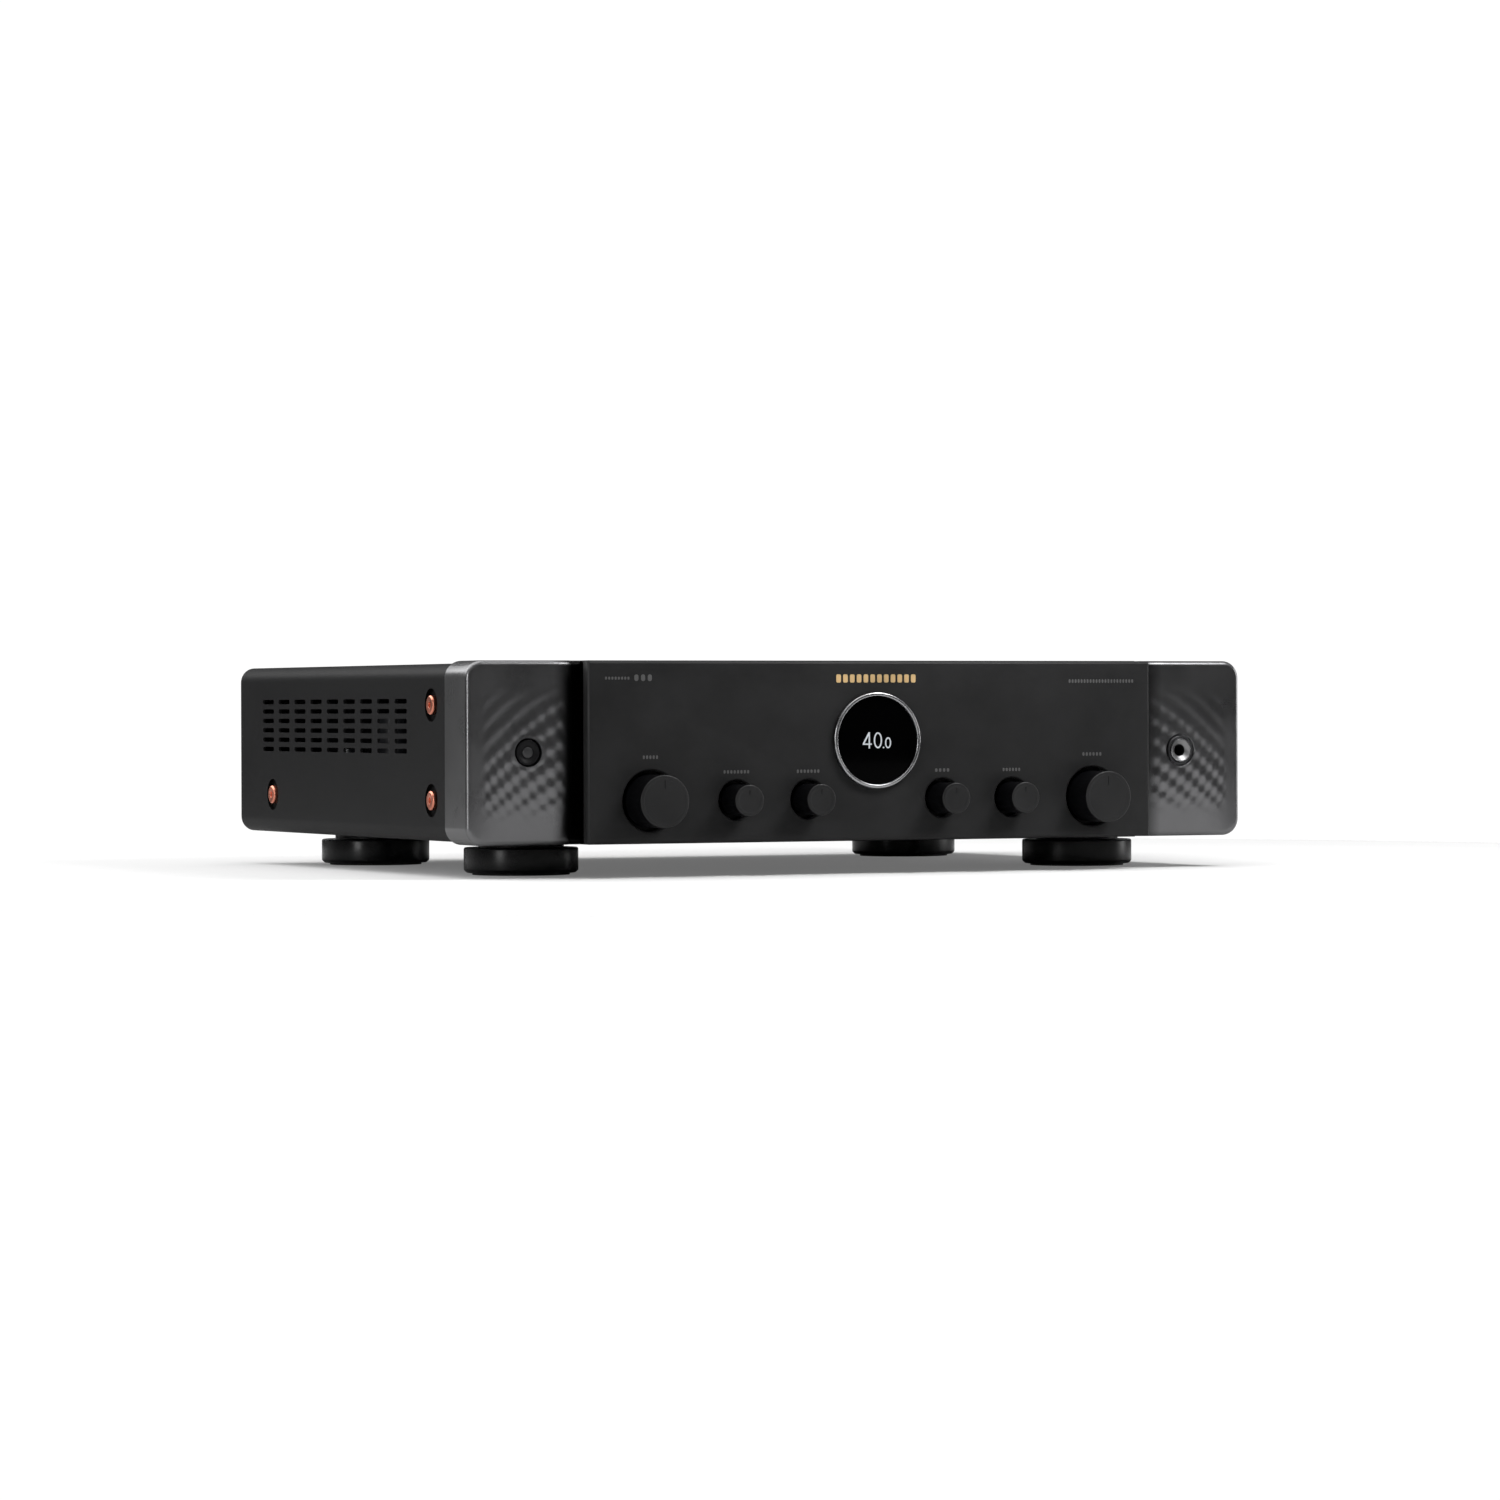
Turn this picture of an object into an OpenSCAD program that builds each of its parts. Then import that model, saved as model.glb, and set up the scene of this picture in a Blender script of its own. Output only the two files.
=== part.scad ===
// Slimline stereo receiver: a full-width case on four round feet, with six knobs and a
// round display on a raised centre panel, and sockets and speaker terminals at the back.
// +X is to the right seen from the front, +Y is to the back, +Z is up.
// The origin is the middle of the footprint, on the surface that the feet stand on.

/* [Case] */
// Width of the front bezel, which is the widest piece
bezel_w = 442; // [436:1:448]
// Height from the surface to the top of the bezel
total_h = 109; // [108:0.5:110]
// Depth from the faces of the large knobs to the ends of the speaker terminals
total_d = 384; // [380:1:388]
// Height of the bezel's lower edge above the surface
bezel_lift = 16.7; // [16.5:0.1:17]
// Depth of the bezel, from the wings' front to the cover's front edge
bezel_d = 29; // [28:0.5:31]
// Depth of the case, from the wings' front to the cover's back edge
case_d = 334.4; // [332:0.2:336]
// Thickness of the sheet steel
sheet_t = 1.2; // [1:0.1:1.2]
// Wall thickness of the moulded bezel
wall_t = 3; // [2.5:0.5:3]

/* [Front] */
// Half width of the raised centre panel
panel_half_w = 160.1; // [158:0.1:161]
// How far the centre panel stands in front of the wings
panel_proud = 11.2; // [10.5:0.1:12]
// Thickness of the centre panel
panel_t = 6.5; // [6:0.1:7]
// How far the large knobs reach in front of the centre panel
large_knob_reach = 17.3; // [16.5:0.1:18]
// How far the small knobs reach in front of the centre panel
small_knob_reach = 15.3; // [14.5:0.1:16]
// Radius of the two large knobs
large_knob_r = 13.3; // [12.5:0.1:14]
// Radius of the four small knobs
small_knob_r = 8; // [7.7:0.1:8.5]
// Height of every knob's axis
knob_z = 38.4; // [38:0.1:39]
// Distance of the large knobs from the middle
large_knob_x = 126; // [124:0.5:128]
// Distance of the outer small knobs from the middle
outer_knob_x = 78.5; // [77:0.5:80]
// Distance of the inner small knobs from the middle
inner_knob_x = 38.3; // [37.3:0.5:39.3]
// Outer radius of the ring around the display
display_ring_r = 24.6; // [24:0.1:25]
// Height of the display's centre
display_z = 68.2; // [67.5:0.1:69]

/* [Cover] */
// Columns of ventilation slots on each side
side_columns = 9; // [3:1:9]
// Rows of ventilation slots on each side
side_rows = 6; // [2:1:6]
// Length of a ventilation slot
slot_l = 17.3; // [14:0.1:18]
// Width of a ventilation slot
slot_w = 2.5; // [2:0.1:3]

/* [Feet] */
// Radius of a foot
foot_r = 29.4; // [28:0.1:30]
// Distance of the feet from the middle, left and right
foot_x = 162; // [158:1:165]

/* [Motion] */
// Radial running clearance of the control shafts in their bushes
shaft_gap = 0.05; // [0.02:0.01:0.09]
// Travel of the power button
button_travel = 1.5; // [1:0.1:1.5]

/* [Hidden] */
$fn = 64;
eps = 1;

// Places along the depth, front to back.
front_y = -total_d / 2;
panel_y = front_y + large_knob_reach;
panel_back_y = panel_y + panel_t;
wing_y = panel_y + panel_proud;
case_y = wing_y + bezel_d;
back_y = wing_y + case_d;
post_end_y = total_d / 2;
seat_back_y = panel_back_y + wall_t;
knob_back_y = panel_y + 3;
control_board_y = seat_back_y + 12;
board_t = 1.6;

// Bezel and case outlines.
bezel_half_w = bezel_w / 2;
bezel_corner_r = 9;
bezel_edge_r = 3.5;
case_half_w = bezel_half_w - 1;
case_z0 = bezel_lift + 1.3;
case_z1 = total_h - 1.3;
case_corner_r = 8;
panel_z0 = bezel_lift + 0.5;
panel_z1 = total_h - 0.5;
panel_edge = 1;
seat_half_w = panel_half_w - 4;
wing_edge_x = panel_half_w + 3.5;
wing_round_r = 6;
groove_y = wing_y + 7;

// Chassis.
tray_z0 = case_z0 + sheet_t + 0.1;
floor_z = tray_z0 + sheet_t;
tray_half_w = case_half_w - 3.1;
tray_y0 = case_y + 0.1;
tray_low_z = 46;
tray_tall_z = 97;
rear_sheet_y = back_y - 2 * sheet_t;
rear_face_y = back_y - sheet_t;
tray_y1 = rear_sheet_y - 0.1;
rear_half_w = tray_half_w;
rear_top_z = case_z1 - sheet_t - 0.1;
flange_z = case_z1 - 8.2;
low_board_z = 30;

// Screws that hold the cover: [y, z] of each, the same on both sides.
cover_screw_places = [
    [wing_y + 50, 86.9],
    [wing_y + 50, 38.7],
    [wing_y + 283.7, 38.7]
];
dimple_r = 8.5;
dimple_depth = 1.8;
cover_screw_r = 2;
cover_head_r = 4.9;

// Ventilation slots in the cover.
slot_pitch_y = 24.75;
slot_pitch_z = 5.1;
slot_y0 = wing_y + 92;
slot_z0 = 63.4;
top_slot_rows = 14;
top_slot_columns = 6;
top_slot_pitch_x = 10.2;

// Small screws at the back: x places along the cover's flange and along the tray's lip.
flange_screw_x = [-190, -95, 0, 95, 190];
lip_screw_x = [-205, -70, 105, 205];
flange_screw_z = case_z1 - 4.6;
lip_screw_z = tray_z0 + 5.5;
rear_screw_r = 1.5;

// Controls on the centre panel.
bush_r = 4.5;
shaft_r = 3;
shaft_y0 = knob_back_y - 10.2;
shaft_y1 = control_board_y - 6.7;
large_hole_r = large_knob_r + 2.1;
small_hole_r = small_knob_r + 2;
nut_t = 2;
display_glass_r = display_ring_r - 2;
display_hole_r = display_ring_r - 1;
display_proud = 2.5;

// Controls on the wings.
button_x = -187.8;
button_z = 63;
button_hole_r = 7;
button_flange_y = wing_y + wall_t + 0.1;
button_end_y = button_flange_y + 2.8;
jack_x = 185;
jack_z = 62;
jack_bore_r = 3.2;
jack_bush_r = 6;
jack_y0 = wing_y - 0.7;
jack_y1 = wing_y + 33;
jack_recess = 1.5;

// Feet.
foot_places = [
    [-foot_x, wing_y + 72],
    [foot_x, wing_y + 72],
    [-foot_x, wing_y + 279],
    [foot_x, wing_y + 279]
];
foot_z0 = 1;
foot_z1 = 14;
foot_neck_r = 22;
foot_pad_r = 25;
foot_pad_hole_r = 12;
foot_pad_t = 1.8;
foot_screw_r = 2.5;
foot_head_r = 5;
foot_head_z = 8;

// Speaker terminals.
post_pitch = 19;
post_x0 = -150;
post_z = 41;
post_cap_r = 7.4;
post_cap_l = 18.4;
post_cap_y = post_end_y - post_cap_l;
post_collar_t = 1.6;
post_collar_y = post_cap_y - post_collar_t;
banana_r = 2;
banana_l = 8;
banana_stud_r = 2.3;
banana_stud_l = 20;
stud_r = 3;
stud_gap = 0.05;
stud_end_y = post_end_y - banana_l - 0.4;
block_half_w = 1.5 * post_pitch + 13;
block_x = post_x0 + 1.5 * post_pitch;
block_flange_t = 2;

// Sockets at the back.
socket_out_y = rear_face_y + 0.5;
digital_board_z = 70;
socket_z = digital_board_z + board_t;
hdmi_x0 = -55;
hdmi_pitch = 22;
hdmi_count = 6;
hdmi_half_w = 7.5;
hdmi_h = 5.6;
hdmi_wall = 0.5;
hdmi_l = 12;
network_x = 85;
network_half_w = 8;
network_h = 13.6;
network_l = 16;
rca_x0 = -46;
rca_pitch_x = 18;
rca_columns = 5;
rca_rows_z = [36, 52];
rca_shell_r = 4.15;
rca_base_r = 5.6;
rca_pin_hole_r = 1.65;
rca_shell_l = 8;
analog_board_y = rear_sheet_y - 16.5;
inlet_x = -192;
inlet_z = 46;
inlet_half_w = 12.2;
inlet_half_h = 8.2;
tuner_x = 150;
tuner_z = 44;
tuner_socket_r = 4.76;
tuner_socket_l = 10;

// Rear antennas.
antenna_x = 200;
antenna_z = 92;
antenna_l = 83;
antenna_boss_r = 6;
antenna_pin_r = 2.5;
antenna_y0 = rear_face_y + 4.3;
antenna_t = 6;
antenna_gap = 0.06;

// Internal blocks.
transformer_x = -150;
transformer_y = -70;
transformer_z = floor_z + 2.5;
core_w = 96;
core_d = 50;
core_h = 72;
core_leg = 32;
core_window_w = 16;
core_window_h = 44;
coil_out = 14;
power_board_x = [-206, -90];
power_board_y = [-5, 148];
amp_board_x = [-62, 112];
amp_board_y = [-60, 28];
sink_x = [-60, 110];
sink_y = 40;
sink_base_t = 6;
sink_fin_l = 30;
sink_h = 66;
sink_fins = 18;
digital_x = [-72, 112];
digital_y = [88, 164];

// --- Building blocks -------------------------------------------------------------------

// Extrudes an (x, z) outline from y0 to y1.
module along_y(y0, y1) {
    translate([0, y1, 0])
        rotate([90, 0, 0])
            linear_extrude(y1 - y0)
                children();
}

// Extrudes a (y, z) outline from x0 to x1.
module along_x(x0, x1) {
    translate([x0, 0, 0])
        rotate([90, 0, 90])
            linear_extrude(x1 - x0)
                children();
}

// Extrudes an (x, y) outline from z0 to z1.
module along_z(z0, z1) {
    translate([0, 0, z0])
        linear_extrude(z1 - z0)
            children();
}

// A box from one corner to the opposite one.
module box(low, high) {
    translate(low)
        cube(high - low);
}

// A cylinder along Y, from y0 to y1.
module rod_y(x, z, r, y0, y1) {
    translate([x, y1, z])
        rotate([90, 0, 0])
            cylinder(h = y1 - y0, r = r);
}

// A cone along Y, with radius r0 at y0 and r1 at y1.
module cone_y(x, z, r0, r1, y0, y1) {
    translate([x, y0, z])
        rotate([-90, 0, 0])
            cylinder(h = y1 - y0, r1 = r0, r2 = r1);
}

// A cylinder along Z, from z0 to z1.
module rod_z(x, y, r, z0, z1) {
    translate([x, y, z0])
        cylinder(h = z1 - z0, r = r);
}

// An outline with the same round at all four corners.
module round_rect(low, high, r) {
    size = high - low;
    translate([low[0], low[1] + r])
        square([size[0], size[1] - 2 * r]);
    translate([low[0] + r, low[1]])
        square([size[0] - 2 * r, size[1]]);
    for (x = [low[0] + r, high[0] - r], y = [low[1] + r, high[1] - r])
        translate([x, y])
            circle(r);
}

// The outline of the bezel or of the case, inset by a distance.
module body_outline(half_w, z0, z1, r, inset = 0) {
    round_rect([-half_w + inset, z0 + inset], [half_w - inset, z1 - inset], r - inset);
}

// A slot with round ends along the first axis, centred on a point.
module slot_outline(centre) {
    straight = slot_l - slot_w;
    translate(centre) {
        square([straight, slot_w], center = true);
        for (side = [-1, 1])
            translate([side * straight / 2, 0])
                circle(slot_w / 2, $fn = 24);
    }
}

// A flat board with its corners at two points.
module board(low, high, z) {
    box([low[0], low[1], z], [high[0], high[1], z + board_t]);
}

// --- Chassis and covers ----------------------------------------------------------------

// The (x, z) outline of the bent tray: floor and both side flanges up to a height.
module tray_outline(top_z) {
    corner_r = 5;
    difference() {
        round_rect([-tray_half_w, tray_z0], [tray_half_w, top_z + corner_r], corner_r);
        round_rect([-tray_half_w + sheet_t, floor_z],
                   [tray_half_w - sheet_t, top_z + 3 * corner_r], corner_r - sheet_t);
        translate([-tray_half_w - eps, top_z])
            square([2 * tray_half_w + 2 * eps, 3 * corner_r]);
    }
}

module tray_standoffs() {
    board_inset = 6;
    for (x = [power_board_x[0] + board_inset, power_board_x[1] - board_inset],
         y = [power_board_y[0] + board_inset, power_board_y[1] - board_inset])
        rod_z(x, y, 3.5, floor_z - 0.2, low_board_z);
    for (x = [amp_board_x[0] + board_inset, amp_board_x[1] - board_inset],
         y = [amp_board_y[0] + board_inset, amp_board_y[1] - board_inset])
        rod_z(x, y, 3.5, floor_z - 0.2, low_board_z);
    for (x = [digital_x[0] + 3, digital_x[1] - 3], y = [digital_y[0] + 6, digital_y[1] - 6])
        rod_z(x, y, 2.5, floor_z - 0.2, digital_board_z);
    for (x = [-1, 1], y = [-1, 1])
        rod_z(transformer_x + x * (core_w / 2 - 8), transformer_y + y * (core_d / 2 - 8),
              6, floor_z - 0.2, transformer_z);
    for (x = [sink_x[0] + 10, sink_x[1] - 10])
        rod_z(x, sink_y + sink_base_t / 2, 3, floor_z - 0.2, floor_z + 3);
}

module chassis_tray() {
    tall_l = 38;
    front_plate_half_w = 168;
    color([0.62, 0.63, 0.64])
        difference() {
            union() {
                along_y(tray_y0, tray_y1)
                    tray_outline(tray_low_z);
                along_y(tray_y0, tray_y0 + tall_l)
                    tray_outline(tray_tall_z);
                box([-front_plate_half_w, tray_y0, floor_z - 0.2],
                    [front_plate_half_w, tray_y0 + sheet_t, tray_tall_z]);
                box([-tray_half_w + 10, tray_y1 - sheet_t, floor_z - 0.2],
                    [tray_half_w - 10, tray_y1, tray_z0 + 10]);
                tray_standoffs();
            }
            for (x = [-110, 0, 110])
                box([x - 42, tray_y0 - eps, 48], [x + 42, tray_y0 + sheet_t + eps, 84]);
            for (place = cover_screw_places)
                along_x(-tray_half_w - eps, tray_half_w + eps)
                    translate(place)
                        circle(cover_screw_r);
            for (place = foot_places)
                rod_z(place[0], place[1], foot_screw_r, tray_z0 - eps, floor_z + eps);
            for (x = lip_screw_x)
                rod_y(x, lip_screw_z, rear_screw_r, tray_y1 - sheet_t - eps, tray_y1 + eps);
        }
}

// The ventilation slots of one side, in (y, z).
module side_slots() {
    for (column = [0 : side_columns - 1], row = [0 : side_rows - 1])
        slot_outline([slot_y0 + column * slot_pitch_y, slot_z0 + row * slot_pitch_z]);
}

// The ventilation slots of the top, in (x, y), over the heat sink and the boards.
module top_slots() {
    x0 = (sink_x[0] + sink_x[1]) / 2 - (top_slot_rows - 1) * top_slot_pitch_x / 2;
    for (column = [0 : top_slot_columns - 1], row = [0 : top_slot_rows - 1])
        translate([x0 + row * top_slot_pitch_x, slot_y0 + column * slot_pitch_y])
            rotate(90)
                slot_outline([0, 0]);
}

module top_cover() {
    lip_x = case_half_w - case_corner_r - 4;
    dimple_back = case_half_w - dimple_depth - sheet_t;
    color([0.13, 0.13, 0.135])
        difference() {
            union() {
                along_y(case_y, back_y)
                    difference() {
                        body_outline(case_half_w, case_z0, case_z1, case_corner_r);
                        body_outline(case_half_w, case_z0, case_z1, case_corner_r, sheet_t);
                        translate([-lip_x, case_z0 - eps])
                            square([2 * lip_x, 5]);
                    }
                along_y(rear_face_y, back_y)
                    intersection() {
                        body_outline(case_half_w, case_z0, case_z1, case_corner_r);
                        translate([-case_half_w, flange_z])
                            square([2 * case_half_w, 20]);
                    }
                for (side = [-1, 1], place = cover_screw_places)
                    translate([side * (dimple_back + case_half_w - 0.2) / 2, place[0], place[1]])
                        rotate([0, 90, 0])
                            cylinder(h = case_half_w - 0.2 - dimple_back,
                                     r = dimple_r + sheet_t, center = true);
            }
            for (side = [-1, 1], place = cover_screw_places)
                translate([side * (case_half_w - dimple_depth + 5), place[0], place[1]])
                    rotate([0, 90, 0])
                        cylinder(h = 10, r = dimple_r, center = true);
            for (place = cover_screw_places)
                along_x(-case_half_w - eps, case_half_w + eps)
                    translate(place)
                        circle(cover_screw_r + 0.3);
            along_x(-case_half_w - eps, case_half_w + eps)
                side_slots();
            along_z(case_z1 - sheet_t - eps, case_z1 + eps)
                top_slots();
            for (x = flange_screw_x)
                rod_y(x, flange_screw_z, rear_screw_r + 0.2, rear_face_y - eps, back_y + eps);
        }
}

// One cover screw along +X: a domed head with a hexagon socket, and its shank.
module cover_screw() {
    head_x = case_half_w - dimple_depth;
    head_t = 2.8;
    difference() {
        union() {
            translate([head_x, 0, 0])
                rotate([0, 90, 0])
                    cylinder(h = head_t - 0.5, r = cover_head_r);
            translate([head_x + head_t - 0.5, 0, 0])
                rotate([0, 90, 0])
                    cylinder(h = 0.5, r1 = cover_head_r, r2 = cover_head_r - 0.8);
            translate([head_x - 7, 0, 0])
                rotate([0, 90, 0])
                    cylinder(h = 7, r = cover_screw_r);
        }
        translate([head_x + head_t - 1.3, 0, 0])
            rotate([0, 90, 0])
                cylinder(h = 2, r = 1.75, $fn = 6);
    }
}

module cover_screws() {
    color([0.75, 0.45, 0.33])
        for (side = [0, 1], place = cover_screw_places)
            translate([0, place[0], place[1]])
                mirror([side, 0, 0])
                    cover_screw();
}

module rear_panel() {
    gap = 0.3;
    top_lip = 10;
    color([0.15, 0.15, 0.16])
        difference() {
            union() {
                along_y(rear_sheet_y, rear_face_y)
                    round_rect([-rear_half_w, tray_z0], [rear_half_w, rear_top_z], 6);
                box([-rear_half_w + 12, rear_sheet_y - top_lip, rear_top_z - sheet_t],
                    [rear_half_w - 12, rear_sheet_y + 0.2, rear_top_z]);
            }
            for (x = flange_screw_x)
                rod_y(x, flange_screw_z, rear_screw_r, rear_sheet_y - eps, rear_face_y + eps);
            for (x = lip_screw_x)
                rod_y(x, lip_screw_z, rear_screw_r + 0.2, rear_sheet_y - eps, rear_face_y + eps);
            box([block_x - block_half_w + 3 - gap, rear_sheet_y - eps, post_z - 11 - gap],
                [block_x + block_half_w - 3 + gap, rear_face_y + eps, post_z + 11 + gap]);
            for (i = [0 : hdmi_count - 1])
                box([hdmi_x0 + i * hdmi_pitch - hdmi_half_w - gap, rear_sheet_y - eps, socket_z - gap],
                    [hdmi_x0 + i * hdmi_pitch + hdmi_half_w + gap, rear_face_y + eps,
                     socket_z + hdmi_h + gap]);
            box([network_x - network_half_w - gap, rear_sheet_y - eps, socket_z - gap],
                [network_x + network_half_w + gap, rear_face_y + eps, socket_z + network_h + gap]);
            for (i = [0 : rca_columns - 1], z = rca_rows_z)
                rod_y(rca_x0 + i * rca_pitch_x, z, rca_base_r + gap,
                      rear_sheet_y - eps, rear_face_y + eps);
            box([inlet_x - inlet_half_w - 2 - gap, rear_sheet_y - eps, inlet_z - inlet_half_h - 2 - gap],
                [inlet_x + inlet_half_w + 2 + gap, rear_face_y + eps, inlet_z + inlet_half_h + 2 + gap]);
            rod_y(tuner_x, tuner_z, tuner_socket_r + 1.2, rear_sheet_y - eps, rear_face_y + eps);
            for (side = [-1, 1])
                rod_y(side * antenna_x, antenna_z, 4.1, rear_sheet_y - eps, rear_face_y + eps);
        }
}

// One small screw along Y, with its head outside a face.
module small_screw(x, z, face_y) {
    head_t = 1.7;
    difference() {
        union() {
            rod_y(x, z, rear_screw_r, face_y - 5, face_y);
            rod_y(x, z, 3.1, face_y, face_y + head_t - 0.4);
            cone_y(x, z, 3.1, 2.4, face_y + head_t - 0.4, face_y + head_t);
        }
        for (turn = [0, 90])
            translate([x, face_y + head_t, z])
                rotate([0, turn, 0])
                    cube([3.4, 1.6, 0.7], center = true);
    }
}

module rear_screws() {
    color([0.08, 0.08, 0.085]) {
        for (x = flange_screw_x)
            small_screw(x, flange_screw_z, back_y);
        for (x = lip_screw_x)
            small_screw(x, lip_screw_z, rear_face_y);
    }
}

// --- Front -----------------------------------------------------------------------------

// The places of the six controls: [x, radius of the hole in the panel].
control_places = [
    [-large_knob_x, large_hole_r],
    [-outer_knob_x, small_hole_r],
    [-inner_knob_x, small_hole_r],
    [inner_knob_x, small_hole_r],
    [outer_knob_x, small_hole_r],
    [large_knob_x, large_hole_r]
];

// A (depth, height) or (depth, width) outline with its two front corners rounded.
module front_rounded(y0, y1, low, high, r) {
    translate([y0 + r, low])
        square([y1 - y0 - r, high - low]);
    translate([y0, low + r])
        square([r + 0.5, high - low - 2 * r]);
    for (edge = [low + r, high - r])
        translate([y0 + r, edge])
            circle(r);
}

module bezel_block() {
    intersection() {
        along_y(wing_y, case_y)
            body_outline(bezel_half_w, bezel_lift, total_h, bezel_corner_r);
        along_x(-bezel_half_w, bezel_half_w)
            front_rounded(wing_y, case_y, bezel_lift, total_h, bezel_edge_r);
        along_z(bezel_lift, total_h)
            mirror([1, -1, 0])
                front_rounded(wing_y, case_y, -bezel_half_w, bezel_half_w, bezel_edge_r);
    }
}

// The groove beside the raised seat, with the round over the wing's inner edge.
module wing_groove() {
    along_z(bezel_lift - eps, total_h + eps) {
        translate([seat_half_w, panel_back_y - eps])
            square([wing_edge_x - seat_half_w, groove_y - panel_back_y + eps]);
        difference() {
            translate([wing_edge_x - 0.5, wing_y - eps])
                square([wing_round_r + 0.5, wing_round_r + eps]);
            translate([wing_edge_x + wing_round_r, wing_y + wing_round_r])
                circle(wing_round_r);
        }
    }
}

module bezel_hollow() {
    groove_back_y = groove_y + wall_t;
    wing_pocket_x = wing_edge_x + wing_round_r + wall_t;
    along_y(groove_back_y, case_y + eps)
        body_outline(bezel_half_w, bezel_lift, total_h, bezel_corner_r, wall_t);
    intersection() {
        along_y(wing_y + wall_t, groove_back_y + eps)
            body_outline(bezel_half_w, bezel_lift, total_h, bezel_corner_r, wall_t);
        for (side = [0, 1])
            mirror([side, 0, 0])
                box([wing_pocket_x, wing_y, bezel_lift], [bezel_half_w, case_y, total_h]);
    }
    box([-seat_half_w + wall_t, seat_back_y, bezel_lift + wall_t + 1],
        [seat_half_w - wall_t, groove_back_y + eps, total_h - wall_t - 1]);
}

module front_bezel() {
    color([0.2, 0.2, 0.21])
        difference() {
            union() {
                bezel_block();
                box([-seat_half_w, panel_back_y, panel_z0 + 0.5],
                    [seat_half_w, groove_y + 1, panel_z1 - 0.5]);
            }
            bezel_hollow();
            for (side = [0, 1])
                mirror([side, 0, 0])
                    wing_groove();
            for (place = control_places)
                rod_y(place[0], knob_z, bush_r + 0.1, panel_back_y - eps, seat_back_y + eps);
            rod_y(0, display_z, display_glass_r - 0.4, panel_back_y - eps, seat_back_y + eps);
            rod_y(button_x, button_z, button_hole_r, wing_y - eps, wing_y + wall_t + eps);
            cone_y(button_x, button_z, button_hole_r + 0.8, button_hole_r, wing_y, wing_y + 0.8);
            rod_y(jack_x, jack_z, jack_bush_r + 2.4, wing_y - eps, wing_y + jack_recess);
            rod_y(jack_x, jack_z, jack_bush_r + 0.1, wing_y, wing_y + wall_t + eps);
        }
}

// A plate standing on its long edge, with a chamfer around its front face.
module chamfered_plate(half_w, z0, z1, y0, y1, chamfer) {
    intersection() {
        box([-half_w, y0, z0], [half_w, y1, z1]);
        along_x(-half_w, half_w)
            polygon([[y0, z0 + chamfer], [y0 + chamfer, z0], [y1, z0],
                     [y1, z1], [y0 + chamfer, z1], [y0, z1 - chamfer]]);
        along_z(z0, z1)
            polygon([[-half_w + chamfer, y0], [half_w - chamfer, y0], [half_w, y0 + chamfer],
                     [half_w, y1], [-half_w, y1], [-half_w, y0 + chamfer]]);
    }
}

module front_panel() {
    hole_chamfer = 0.7;
    color([0.19, 0.19, 0.2])
        difference() {
            chamfered_plate(panel_half_w, panel_z0, panel_z1, panel_y, panel_back_y, panel_edge);
            for (place = control_places) {
                rod_y(place[0], knob_z, place[1], panel_y - eps, panel_back_y + eps);
                cone_y(place[0], knob_z, place[1] + hole_chamfer, place[1],
                       panel_y, panel_y + hole_chamfer);
            }
            rod_y(0, display_z, display_hole_r, panel_y - eps, panel_back_y + eps);
        }
}

module display_ring() {
    ring_edge = 0.5;
    color([0.78, 0.78, 0.78])
        difference() {
            union() {
                rod_y(0, display_z, display_ring_r, panel_y - display_proud + ring_edge, panel_y);
                cone_y(0, display_z, display_ring_r - ring_edge, display_ring_r,
                       panel_y - display_proud, panel_y - display_proud + ring_edge);
                rod_y(0, display_z, display_hole_r, panel_y - 0.1, panel_back_y);
            }
            rod_y(0, display_z, display_glass_r, panel_y - display_proud - eps, panel_back_y + eps);
        }
}

module display_window() {
    color([0.02, 0.02, 0.02])
        rod_y(0, display_z, display_glass_r, panel_y - 1.2, panel_y + 0.8);
}

module display_module() {
    panel_r = display_glass_r - 0.6;
    color([0.1, 0.12, 0.1]) {
        rod_y(0, display_z, panel_r, panel_y + 0.9, panel_y + 3);
        box([-14, panel_y + 2.9, display_z - 14], [14, seat_back_y + 5, display_z + 14]);
    }
}

// A control: a square body behind the seat and a bush through it, bored for the shaft.
module control_body(x, half) {
    difference() {
        union() {
            box([x - half, seat_back_y, knob_z - half], [x + half, control_board_y, knob_z + half]);
            rod_y(x, knob_z, bush_r, panel_back_y - nut_t - 1, seat_back_y + 0.1);
        }
        rod_y(x, knob_z, shaft_r + shaft_gap, panel_back_y - nut_t - 1 - eps, shaft_y1 + 0.4);
    }
}

module rotary_switches() {
    color([0.35, 0.36, 0.37])
        for (x = [-large_knob_x, -outer_knob_x, large_knob_x])
            control_body(x, 8);
}

module potentiometers() {
    color([0.3, 0.32, 0.3])
        for (x = [-inner_knob_x, inner_knob_x, outer_knob_x])
            control_body(x, 6);
}

module shaft_nuts() {
    nut_corner_r = 6.9;
    color([0.7, 0.7, 0.68])
        for (place = control_places)
            difference() {
                translate([place[0], panel_back_y, knob_z])
                    rotate([90, 0, 0])
                        cylinder(h = nut_t, r = nut_corner_r, $fn = 6);
                rod_y(place[0], knob_z, bush_r, panel_back_y - nut_t - eps, panel_back_y + eps);
            }
}

module control_board() {
    color([0.08, 0.3, 0.16])
        box([-206, control_board_y, 24], [170, control_board_y + board_t, 72]);
}

module power_switch() {
    color([0.15, 0.15, 0.15])
        box([button_x - 4, button_end_y + button_travel + 0.1, button_z - 4],
            [button_x + 4, control_board_y, button_z + 4]);
}

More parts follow.
